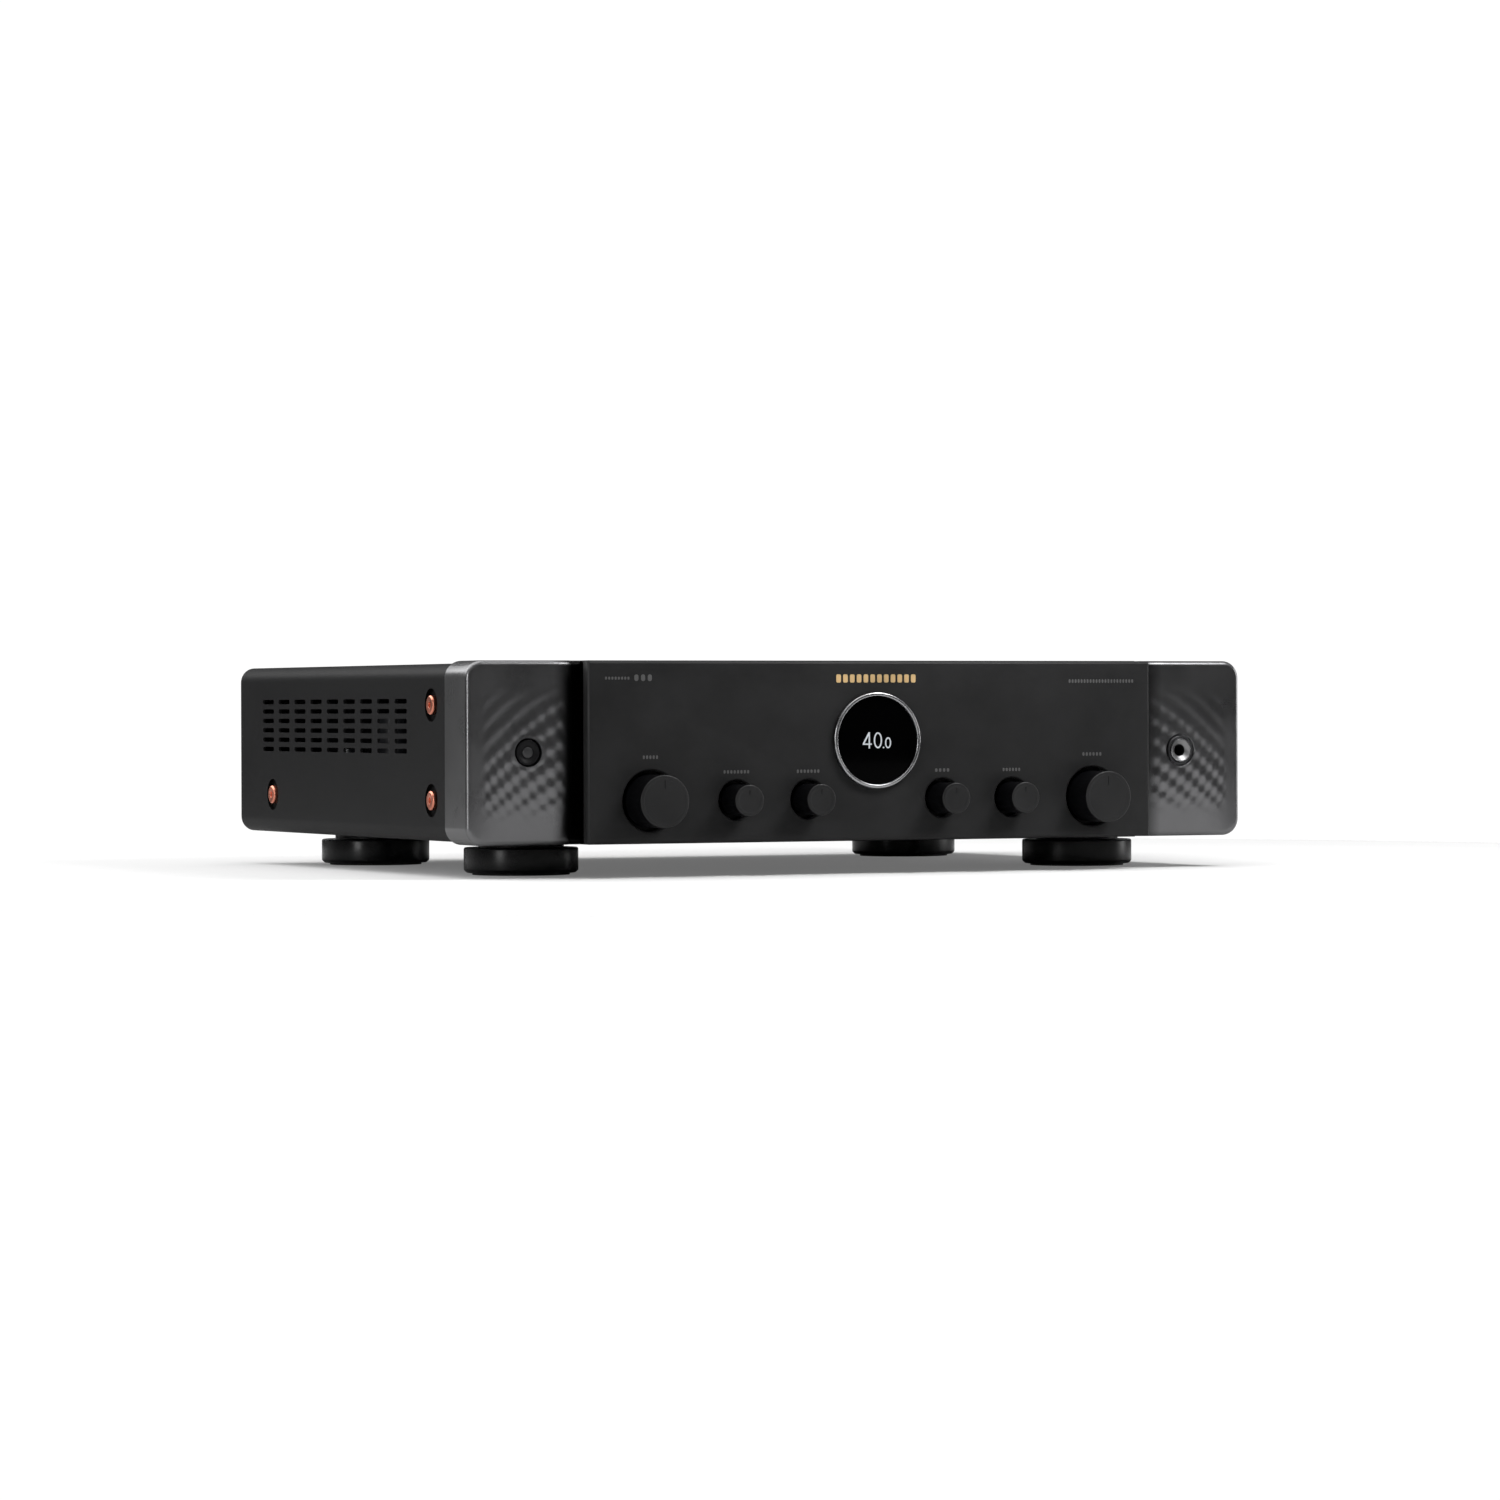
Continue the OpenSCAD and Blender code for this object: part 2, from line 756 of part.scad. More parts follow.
module power_button() {
    color([0.14, 0.14, 0.145]) {
        cone_y(button_x, button_z, 5.8, 6.3, wing_y + 0.5, wing_y + 1);
        rod_y(button_x, button_z, 6.3, wing_y + 1, button_flange_y + 0.1);
        rod_y(button_x, button_z, 8, button_flange_y, button_flange_y + 1.2);
        rod_y(button_x, button_z, 2.5, button_flange_y + 1.1, button_end_y);
    }
}

module headphone_jack() {
    half = 7.5;
    color([0.06, 0.06, 0.06])
        difference() {
            union() {
                rod_y(jack_x, jack_z, jack_bush_r, jack_y0, wing_y + wall_t + 0.2);
                box([jack_x - half, wing_y + wall_t + 0.1, jack_z - half],
                    [jack_x + half, jack_y1, jack_z + half]);
            }
            rod_y(jack_x, jack_z, jack_bore_r, jack_y0 - eps, jack_y1 - 1.5);
        }
}

module headphone_nut() {
    color([0.8, 0.8, 0.8])
        difference() {
            rod_y(jack_x, jack_z, jack_bush_r + 1.2, wing_y - 0.3, wing_y + jack_recess);
            rod_y(jack_x, jack_z, jack_bush_r, wing_y - 0.3 - eps, wing_y + jack_recess + eps);
        }
}

// A knob: a cup closed at the front, with a hub inside that is bored for the shaft.
module knob(x, r, face_y) {
    edge = 0.6;
    skirt_t = r > 10 ? 2 : 1.6;
    hub_r = 4.3;
    cup_y = face_y + 8;
    color([0.16, 0.16, 0.165])
        difference() {
            union() {
                cone_y(x, knob_z, r - edge, r, face_y, face_y + edge);
                rod_y(x, knob_z, r, face_y + edge, knob_back_y);
            }
            difference() {
                rod_y(x, knob_z, r - skirt_t, cup_y, knob_back_y + eps);
                rod_y(x, knob_z, hub_r, cup_y - eps, knob_back_y + 2 * eps);
            }
            rod_y(x, knob_z, shaft_r, shaft_y0, knob_back_y + eps);
        }
}

module large_knob(x) {
    knob(x, large_knob_r, panel_y - large_knob_reach);
}

module small_knob(x) {
    knob(x, small_knob_r, panel_y - small_knob_reach);
}

module control_shaft(x) {
    color([0.72, 0.72, 0.72])
        rod_y(x, knob_z, shaft_r, shaft_y0, shaft_y1);
}

// --- Feet ------------------------------------------------------------------------------

// A foot as a turned shape: [radius, height] of its half section.
module foot() {
    edge = 1.5;
    rotate_extrude()
        polygon([
            [foot_screw_r, foot_head_z],
            [foot_head_r + 0.5, foot_head_z],
            [foot_head_r + 0.5, foot_z0],
            [foot_pad_hole_r, foot_z0],
            [foot_pad_hole_r, foot_pad_t],
            [foot_pad_r, foot_pad_t],
            [foot_pad_r, foot_z0],
            [foot_r - edge, foot_z0],
            [foot_r, foot_z0 + edge],
            [foot_r, foot_z1 - 0.6],
            [foot_r - 0.6, foot_z1],
            [foot_neck_r, foot_z1],
            [foot_neck_r, tray_z0],
            [foot_screw_r, tray_z0]
        ]);
}

module feet() {
    color([0.05, 0.05, 0.05])
        for (place = foot_places)
            translate(place)
                foot();
}

module foot_pads() {
    color([0.1, 0.1, 0.1])
        for (place = foot_places)
            difference() {
                rod_z(place[0], place[1], foot_pad_r, 0, foot_pad_t);
                rod_z(place[0], place[1], foot_pad_hole_r, -eps, foot_pad_t + eps);
            }
}

module foot_screws() {
    head_t = 3;
    color([0.65, 0.65, 0.65])
        for (place = foot_places)
            difference() {
                union() {
                    rod_z(place[0], place[1], foot_head_r, foot_head_z - head_t, foot_head_z);
                    rod_z(place[0], place[1], foot_screw_r, foot_head_z - 0.1, transformer_z - 0.4);
                }
                for (turn = [0, 90])
                    translate([place[0], place[1], foot_head_z - head_t])
                        rotate(turn)
                            cube([5, 1.1, 3], center = true);
            }
}

// --- Inside the case -------------------------------------------------------------------

module transformer_core() {
    low = [transformer_x - core_w / 2, transformer_y - core_d / 2, transformer_z];
    window_z = transformer_z + (core_h - core_window_h) / 2;
    color([0.35, 0.36, 0.4])
        difference() {
            box(low, low + [core_w, core_d, core_h]);
            for (side = [-1, 1])
                translate([transformer_x + side * (core_leg + core_window_w) / 2, transformer_y,
                           window_z + core_window_h / 2])
                    cube([core_window_w, core_d + 2 * eps, core_window_h], center = true);
        }
}

module transformer_coil() {
    coil_h = core_window_h - 1;
    centre = [transformer_x, transformer_y, transformer_z + core_h / 2];
    color([0.7, 0.4, 0.15])
        difference() {
            translate(centre)
                cube([core_leg + 2 * core_window_w - 1, core_d + 2 * coil_out, coil_h], center = true);
            translate(centre)
                cube([core_leg, core_d, coil_h + 2 * eps], center = true);
        }
}

module power_board() {
    color([0.08, 0.3, 0.16])
        board([power_board_x[0], power_board_y[0]], [power_board_x[1], power_board_y[1]], low_board_z);
}

module filter_capacitors() {
    can_z = low_board_z + board_t;
    color([0.1, 0.12, 0.25]) {
        for (x = [-180, -142])
            rod_z(x, 30, 16, can_z, can_z + 50);
        for (x = [-190, -168, -146, -124])
            rod_z(x, 78, 8, can_z, can_z + 32);
    }
}

module amplifier_board() {
    color([0.08, 0.3, 0.16])
        board([amp_board_x[0], amp_board_y[0]], [amp_board_x[1], amp_board_y[1]], low_board_z);
}

module heat_sink() {
    fin_t = 2;
    fin_pitch = (sink_x[1] - sink_x[0] - fin_t) / (sink_fins - 1);
    sink_z = floor_z + 3;
    color([0.75, 0.75, 0.76]) {
        box([sink_x[0], sink_y, sink_z], [sink_x[1], sink_y + sink_base_t, sink_z + sink_h]);
        for (i = [0 : sink_fins - 1])
            box([sink_x[0] + i * fin_pitch, sink_y + sink_base_t - 0.1, sink_z],
                [sink_x[0] + i * fin_pitch + fin_t, sink_y + sink_base_t + sink_fin_l, sink_z + sink_h]);
    }
}

module output_transistors() {
    package_t = 5;
    color([0.05, 0.05, 0.05])
        for (x = [-30, 0, 50, 80])
            box([x - 8, sink_y - package_t, 40], [x + 8, sink_y, 64]);
}

module digital_board() {
    color([0.08, 0.3, 0.16])
        board([digital_x[0], digital_y[0]], [digital_x[1], digital_y[1]], digital_board_z);
}

// --- Sockets at the back ---------------------------------------------------------------

// A rectangular socket on the digital board: a shell, open to the back.
module board_socket(x, half_w, height, length, wall) {
    difference() {
        box([x - half_w, socket_out_y - length, socket_z], [x + half_w, socket_out_y, socket_z + height]);
        box([x - half_w + wall, socket_out_y - length + 1, socket_z + wall],
            [x + half_w - wall, socket_out_y + eps, socket_z + height - wall]);
    }
}

module hdmi_sockets() {
    color([0.72, 0.72, 0.7])
        for (i = [0 : hdmi_count - 1])
            board_socket(hdmi_x0 + i * hdmi_pitch, hdmi_half_w, hdmi_h, hdmi_l, hdmi_wall);
}

module network_socket() {
    color([0.7, 0.7, 0.68])
        board_socket(network_x, network_half_w, network_h, network_l, 2);
}

module analog_board() {
    color([0.08, 0.3, 0.16])
        box([rca_x0 - 12, analog_board_y - board_t, 23],
            [rca_x0 + (rca_columns - 1) * rca_pitch_x + 12, analog_board_y, 60]);
}

// A phono jack: a round base behind the panel and a metal shell with a contact hole.
module rca_jack(x, z) {
    difference() {
        union() {
            rod_y(x, z, rca_base_r, analog_board_y, rear_face_y + 1);
            rod_y(x, z, rca_shell_r, rear_face_y + 0.9, rear_face_y + 1 + rca_shell_l);
        }
        rod_y(x, z, rca_pin_hole_r, rear_face_y - 3, rear_face_y + 1 + rca_shell_l + eps);
    }
}

module rca_jacks() {
    color([0.8, 0.7, 0.4])
        for (i = [0 : rca_columns - 1], z = rca_rows_z)
            rca_jack(rca_x0 + i * rca_pitch_x, z);
}

module terminal_block() {
    color([0.07, 0.07, 0.07])
        difference() {
            union() {
                box([block_x - block_half_w, rear_face_y, post_z - 14],
                    [block_x + block_half_w, rear_face_y + block_flange_t, post_z + 14]);
                box([block_x - block_half_w + 3, rear_face_y - 14, post_z - 11],
                    [block_x + block_half_w - 3, rear_face_y + 0.1, post_z + 11]);
            }
            for (i = [0 : 3])
                rod_y(post_x0 + i * post_pitch, post_z, stud_r,
                      rear_face_y - 14 - eps, rear_face_y + block_flange_t + eps);
        }
}

// The threaded studs, bored from the end for a banana plug.
module terminal_studs() {
    color([0.8, 0.66, 0.35])
        for (i = [0 : 3])
            difference() {
                rod_y(post_x0 + i * post_pitch, post_z, stud_r, rear_face_y - 20, stud_end_y);
                rod_y(post_x0 + i * post_pitch, post_z, banana_stud_r,
                      stud_end_y - banana_stud_l, stud_end_y + eps);
            }
}

// A binding post's cap, counted from 0: a threaded hole on the stud and a hole for a plug.
module post_cap(i) {
    x = post_x0 + i * post_pitch;
    edge = 0.8;
    color(i % 2 == 0 ? [0.6, 0.05, 0.05] : [0.06, 0.06, 0.06])
        difference() {
            union() {
                rod_y(x, post_z, post_cap_r, post_cap_y, post_end_y - edge);
                cone_y(x, post_z, post_cap_r, post_cap_r - edge, post_end_y - edge, post_end_y);
            }
            rod_y(x, post_z, stud_r + stud_gap, post_cap_y - eps, post_end_y - banana_l);
            rod_y(x, post_z, banana_r, post_end_y - banana_l - eps, post_end_y + eps);
        }
}

// The washer that travels with a cap along the stud.
module post_collar(i) {
    x = post_x0 + i * post_pitch;
    color([0.8, 0.66, 0.35])
        difference() {
            rod_y(x, post_z, post_cap_r - 1, post_collar_y, post_cap_y);
            rod_y(x, post_z, stud_r + stud_gap, post_collar_y - eps, post_cap_y + eps);
        }
}

module ac_inlet() {
    depth = 16.5;
    pin_l = 11.5;
    shell = 2;
    mouth_y = rear_face_y + 2;
    pin_places = [[-7, -2], [7, -2], [0, 2]];
    color([0.05, 0.05, 0.05]) {
        difference() {
            union() {
                box([inlet_x - inlet_half_w - shell, mouth_y - depth - 3, inlet_z - inlet_half_h - shell],
                    [inlet_x + inlet_half_w + shell, mouth_y - 0.1, inlet_z + inlet_half_h + shell]);
                box([inlet_x - inlet_half_w - 4, rear_face_y, inlet_z - inlet_half_h - 4],
                    [inlet_x + inlet_half_w + 4, mouth_y, inlet_z + inlet_half_h + 4]);
            }
            box([inlet_x - inlet_half_w, mouth_y - depth, inlet_z - inlet_half_h],
                [inlet_x + inlet_half_w, mouth_y + eps, inlet_z + inlet_half_h]);
        }
        for (place = pin_places)
            box([inlet_x + place[0] - 1, mouth_y - depth - 0.5, inlet_z + place[1] - 2],
                [inlet_x + place[0] + 1, mouth_y - depth + pin_l, inlet_z + place[1] + 2]);
    }
}

module tuner_module() {
    can_back_y = rear_sheet_y - 0.5;
    color([0.7, 0.7, 0.7])
        difference() {
            union() {
                box([tuner_x - 30, can_back_y - 55, tuner_z - 9], [tuner_x + 30, can_back_y, tuner_z + 9]);
                rod_y(tuner_x, tuner_z, tuner_socket_r + 1, can_back_y - 0.1, rear_face_y + 0.5);
                rod_y(tuner_x, tuner_z, tuner_socket_r, rear_face_y + 0.4,
                      rear_face_y + 0.5 + tuner_socket_l);
            }
            rod_y(tuner_x, tuner_z, 1, rear_face_y - 2, rear_face_y + 1.5 + tuner_socket_l);
        }
}

module antenna_mounts() {
    color([0.06, 0.06, 0.06])
        for (side = [-1, 1]) {
            rod_y(side * antenna_x, antenna_z, 4, rear_sheet_y - 3, rear_face_y + 0.1);
            rod_y(side * antenna_x, antenna_z, antenna_boss_r, rear_face_y, antenna_y0 - 0.3);
            rod_y(side * antenna_x, antenna_z, antenna_pin_r, antenna_y0 - 0.4, antenna_y0 + antenna_t);
        }
}

// An antenna lying flat behind the case, pointing towards the middle.
module antenna(side) {
    neck_w = 8;
    tip_w = 10;
    neck_l = 14;
    color([0.06, 0.06, 0.06])
        mirror([side > 0 ? 1 : 0, 0, 0])
            difference() {
                union() {
                    rod_y(-antenna_x, antenna_z, antenna_boss_r, antenna_y0, antenna_y0 + antenna_t);
                    box([-antenna_x, antenna_y0 + 0.5, antenna_z - neck_w / 2],
                        [-antenna_x + neck_l, antenna_y0 + antenna_t - 0.5, antenna_z + neck_w / 2]);
                    box([-antenna_x + neck_l - 0.5, antenna_y0, antenna_z - tip_w / 2],
                        [-antenna_x + antenna_l - tip_w / 2, antenna_y0 + antenna_t, antenna_z + tip_w / 2]);
                    rod_y(-antenna_x + antenna_l - tip_w / 2, antenna_z, tip_w / 2,
                          antenna_y0, antenna_y0 + antenna_t);
                }
                rod_y(-antenna_x, antenna_z, antenna_pin_r + antenna_gap,
                      antenna_y0 - eps, antenna_y0 + antenna_t + eps);
            }
}

chassis_tray();
top_cover();
cover_screws();
rear_panel();
rear_screws();
front_bezel();
front_panel();
display_ring();
display_window();
display_module();
rotary_switches();
potentiometers();
shaft_nuts();
control_board();
power_switch();
power_button();
headphone_jack();
headphone_nut();
large_knob(-large_knob_x);  // input_knob
small_knob(-outer_knob_x);  // mode_knob
small_knob(-inner_knob_x);  // balance_knob
small_knob(inner_knob_x);  // bass_knob
small_knob(outer_knob_x);  // treble_knob
large_knob(large_knob_x);  // volume_knob
control_shaft(-large_knob_x);  // input_shaft
control_shaft(-outer_knob_x);  // mode_shaft
control_shaft(-inner_knob_x);  // balance_shaft
control_shaft(inner_knob_x);  // bass_shaft
control_shaft(outer_knob_x);  // treble_shaft
control_shaft(large_knob_x);  // volume_shaft
feet();
foot_pads();
foot_screws();
transformer_core();
transformer_coil();
power_board();
filter_capacitors();
amplifier_board();
heat_sink();
output_transistors();
digital_board();
hdmi_sockets();
network_socket();
analog_board();
rca_jacks();
terminal_block();
terminal_studs();
post_cap(0);  // post_cap_1
post_cap(1);  // post_cap_2
post_cap(2);  // post_cap_3
post_cap(3);  // post_cap_4
post_collar(0);  // post_collar_1
post_collar(1);  // post_collar_2
post_collar(2);  // post_collar_3
post_collar(3);  // post_collar_4
ac_inlet();
tuner_module();
antenna_mounts();
antenna(-1);  // antenna_left
antenna(1);  // antenna_right
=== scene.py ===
import math

import bmesh
import bpy
import numpy as np
from mathutils import Matrix, Vector


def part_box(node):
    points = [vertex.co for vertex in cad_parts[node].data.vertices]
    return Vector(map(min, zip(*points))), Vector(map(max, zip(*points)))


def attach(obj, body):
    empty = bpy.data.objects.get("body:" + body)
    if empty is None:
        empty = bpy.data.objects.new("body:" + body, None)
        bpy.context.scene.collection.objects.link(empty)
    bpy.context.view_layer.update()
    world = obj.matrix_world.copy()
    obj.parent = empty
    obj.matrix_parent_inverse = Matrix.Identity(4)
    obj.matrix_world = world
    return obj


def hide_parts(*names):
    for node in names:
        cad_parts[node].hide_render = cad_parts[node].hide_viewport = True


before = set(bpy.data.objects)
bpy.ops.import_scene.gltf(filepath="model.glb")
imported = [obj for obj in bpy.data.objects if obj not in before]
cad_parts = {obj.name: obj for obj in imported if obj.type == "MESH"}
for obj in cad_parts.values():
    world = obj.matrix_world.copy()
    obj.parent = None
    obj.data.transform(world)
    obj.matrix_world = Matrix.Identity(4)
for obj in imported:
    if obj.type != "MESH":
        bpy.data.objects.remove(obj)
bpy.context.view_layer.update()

MM = 0.001
scene = bpy.context.scene

# The object's own measures in millimetres, as the CAD model has them, but for the wings' rounding
# and the softening of the bezel's edge, which are this model's own.
BEZEL_HALF_W = 221.0
BEZEL_Z0, BEZEL_Z1 = 16.7, 109.0
BEZEL_CORNER_R = 9.0
BEZEL_EDGE_R = 2.6
WING_Y, GROOVE_Y, CASE_Y = -163.5, -156.5, -134.5
WING_EDGE_X, WING_ROUND_W, WING_ROUND_D = 163.6, 11.0, 2.2
SEAT_HALF_W = 156.1
PANEL_Y, PANEL_BACK_Y = -174.7, -168.2
KNOB_Z = 38.4
DISPLAY_Z = 68.2
BUTTON_X, BUTTON_Z = -187.8, 63.0
JACK_X, JACK_Z = 185.0, 62.0
KNOBS = {
    "input_knob": ("input", -126.0, 13.3, -192.0),
    "mode_knob": ("mode", -78.5, 8.0, -190.0),
    "balance_knob": ("balance", -38.3, 8.0, -190.0),
    "bass_knob": ("bass", 38.3, 8.0, -190.0),
    "treble_knob": ("treble", 78.5, 8.0, -190.0),
    "volume_knob": ("volume", 126.0, 13.3, -192.0),
}
COVER_SCREWS = ((-113.5, 86.9), (-113.5, 38.7), (120.2, 38.7))
RECESS_X, RECESS_R = (216.0, 219.9), 8.7
PHONO_X, PHONO_PITCH, PHONO_LOW_Z, PHONO_HIGH_Z = -46, 18, 36, 52
POST_X, POST_PITCH, POST_Z = -150, 19, 41
HDMI_X, HDMI_PITCH = -55, 22


# ---------------------------------------------------------------- materials

def new_node(tree, kind, **values):
    """A shader node with its settings and its input values."""
    node = tree.nodes.new(kind)
    for key, value in values.items():
        if key in node.inputs:
            node.inputs[key].default_value = value
        else:
            setattr(node, key, value)
    return node


def noise_of(tree, coordinates, size, detail=2.0, stretch=(1, 1, 1)):
    """Noise with features of that size in millimetres, stretched along the axes."""
    mapping = new_node(tree, "ShaderNodeMapping", Scale=stretch)
    texture = new_node(tree, "ShaderNodeTexNoise", Scale=1 / (size * MM), Detail=detail)
    tree.links.new(coordinates.outputs["Object"], mapping.inputs["Vector"])
    tree.links.new(mapping.outputs["Vector"], texture.inputs["Vector"])
    return texture.outputs["Fac"]


def spread(tree, value, low, high, from_low=0.3, from_high=0.7):
    """The value carried from one range to another."""
    node = new_node(tree, "ShaderNodeMapRange", **{
        "From Min": from_low, "From Max": from_high, "To Min": low, "To Max": high})
    tree.links.new(value, node.inputs["Value"])
    return node.outputs["Result"]


def blend_colours(tree, factor, first, second):
    """A colour between two, each of them a tuple or another node's output."""
    node = new_node(tree, "ShaderNodeMix", data_type="RGBA")
    tree.links.new(factor, node.inputs["Factor"])
    for socket, colour in (("A", first), ("B", second)):
        target = [s for s in node.inputs if s.name == socket and s.type == "RGBA"][0]
        if isinstance(colour, tuple):
            target.default_value = (*colour, 1)
        else:
            tree.links.new(colour, target)
    return [s for s in node.outputs if s.type == "RGBA"][0]


def edge_mask(tree, radius):
    """White where the surface turns over an edge, black where it is flat."""
    bevel = new_node(tree, "ShaderNodeBevel", Radius=radius * MM, samples=4)
    geometry = new_node(tree, "ShaderNodeNewGeometry")
    dot = new_node(tree, "ShaderNodeVectorMath", operation="DOT_PRODUCT")
    tree.links.new(bevel.outputs["Normal"], dot.inputs[0])
    tree.links.new(geometry.outputs["Normal"], dot.inputs[1])
    return spread(tree, dot.outputs["Value"], 1.0, 0.0, 0.80, 0.97)


# Sizes in millimetres of the uneven patches, of the rubbed spots and of the rubbed edges' width.
PATCH_SIZE, RUB_SIZE, RUB_R = 28.0, 2.5, 0.5


def finish_of(name, colour, roughness, metallic=0.0, grain=0.35, depth=0.01, mottle=0.15,
              uneven=0.06, wear=0.0, stretch=(1, 1, 1), coat=0.0, specular=0.5, light=0.0,
              shade=None):
    """A procedural finish: uneven colour and gloss, a fine grain, and rubbed edges."""
    material = bpy.data.materials.new(name)
    material.use_nodes = True
    tree = material.node_tree
    shader = tree.nodes["Principled BSDF"]
    shader.inputs["Metallic"].default_value = metallic
    shader.inputs["Specular IOR Level"].default_value = specular
    shader.inputs["Coat Weight"].default_value = coat
    shader.inputs["Coat Roughness"].default_value = 0.12
    coordinates = new_node(tree, "ShaderNodeTexCoord")
    fine = noise_of(tree, coordinates, grain, 3.0, stretch)
    broad = noise_of(tree, coordinates, PATCH_SIZE, 4.0)
    dark = tuple(c * (1 - mottle) for c in colour)
    bright = tuple(min(c * (1 + mottle), 1) for c in colour)
    tint = blend_colours(tree, spread(tree, broad, 0, 1), dark, bright)
    if wear > 0:
        rubbed = tuple(min(c + wear, 1) for c in colour)
        rubbing = new_node(tree, "ShaderNodeMath", operation="MULTIPLY")
        spots = spread(tree, noise_of(tree, coordinates, RUB_SIZE), 0.15, 1.0)
        tree.links.new(edge_mask(tree, RUB_R), rubbing.inputs[0])
        tree.links.new(spots, rubbing.inputs[1])
        tint = blend_colours(tree, rubbing.outputs[0], tint, rubbed)
    tree.links.new(tint, shader.inputs["Base Color"])
    gloss = new_node(tree, "ShaderNodeMath", operation="ADD")
    tree.links.new(spread(tree, broad, roughness - uneven, roughness + uneven), gloss.inputs[0])
    tree.links.new(spread(tree, fine, -uneven / 2, uneven / 2), gloss.inputs[1])
    tree.links.new(gloss.outputs[0], shader.inputs["Roughness"])
    bump = new_node(tree, "ShaderNodeBump", Strength=1.0, Distance=depth * MM)
    tree.links.new(fine, bump.inputs["Height"])
    tree.links.new(bump.outputs["Normal"], shader.inputs["Normal"])
    # A shade function paints shade into the colour, as on the bezel.
    if shade is not None:
        shade(tree, coordinates, tint, shader)
    if light > 0:
        shader.inputs["Emission Color"].default_value = (*colour, 1)
        shader.inputs["Emission Strength"].default_value = light
    return material


def painted_groove_shade(tree, coordinates, tint, shader):
    """Painted shade: the moulding turns nearly black behind the front plate and in the grooves beside
    it, and darkens over the wings' inner rounding.
    """
    shade_full_to, shade_none_from = 163 * MM, 174 * MM
    split = new_node(tree, "ShaderNodeSeparateXYZ")
    tree.links.new(coordinates.outputs["Object"], split.inputs[0])
    away = new_node(tree, "ShaderNodeMath", operation="ABSOLUTE")
    tree.links.new(split.outputs["X"], away.inputs[0])
    inside = spread(tree, away.outputs[0], 1.0, 0.0, shade_full_to, shade_none_from)
    colour = blend_colours(tree, inside, tint, (0.006, 0.006, 0.006))
    tree.links.new(colour, shader.inputs["Base Color"])


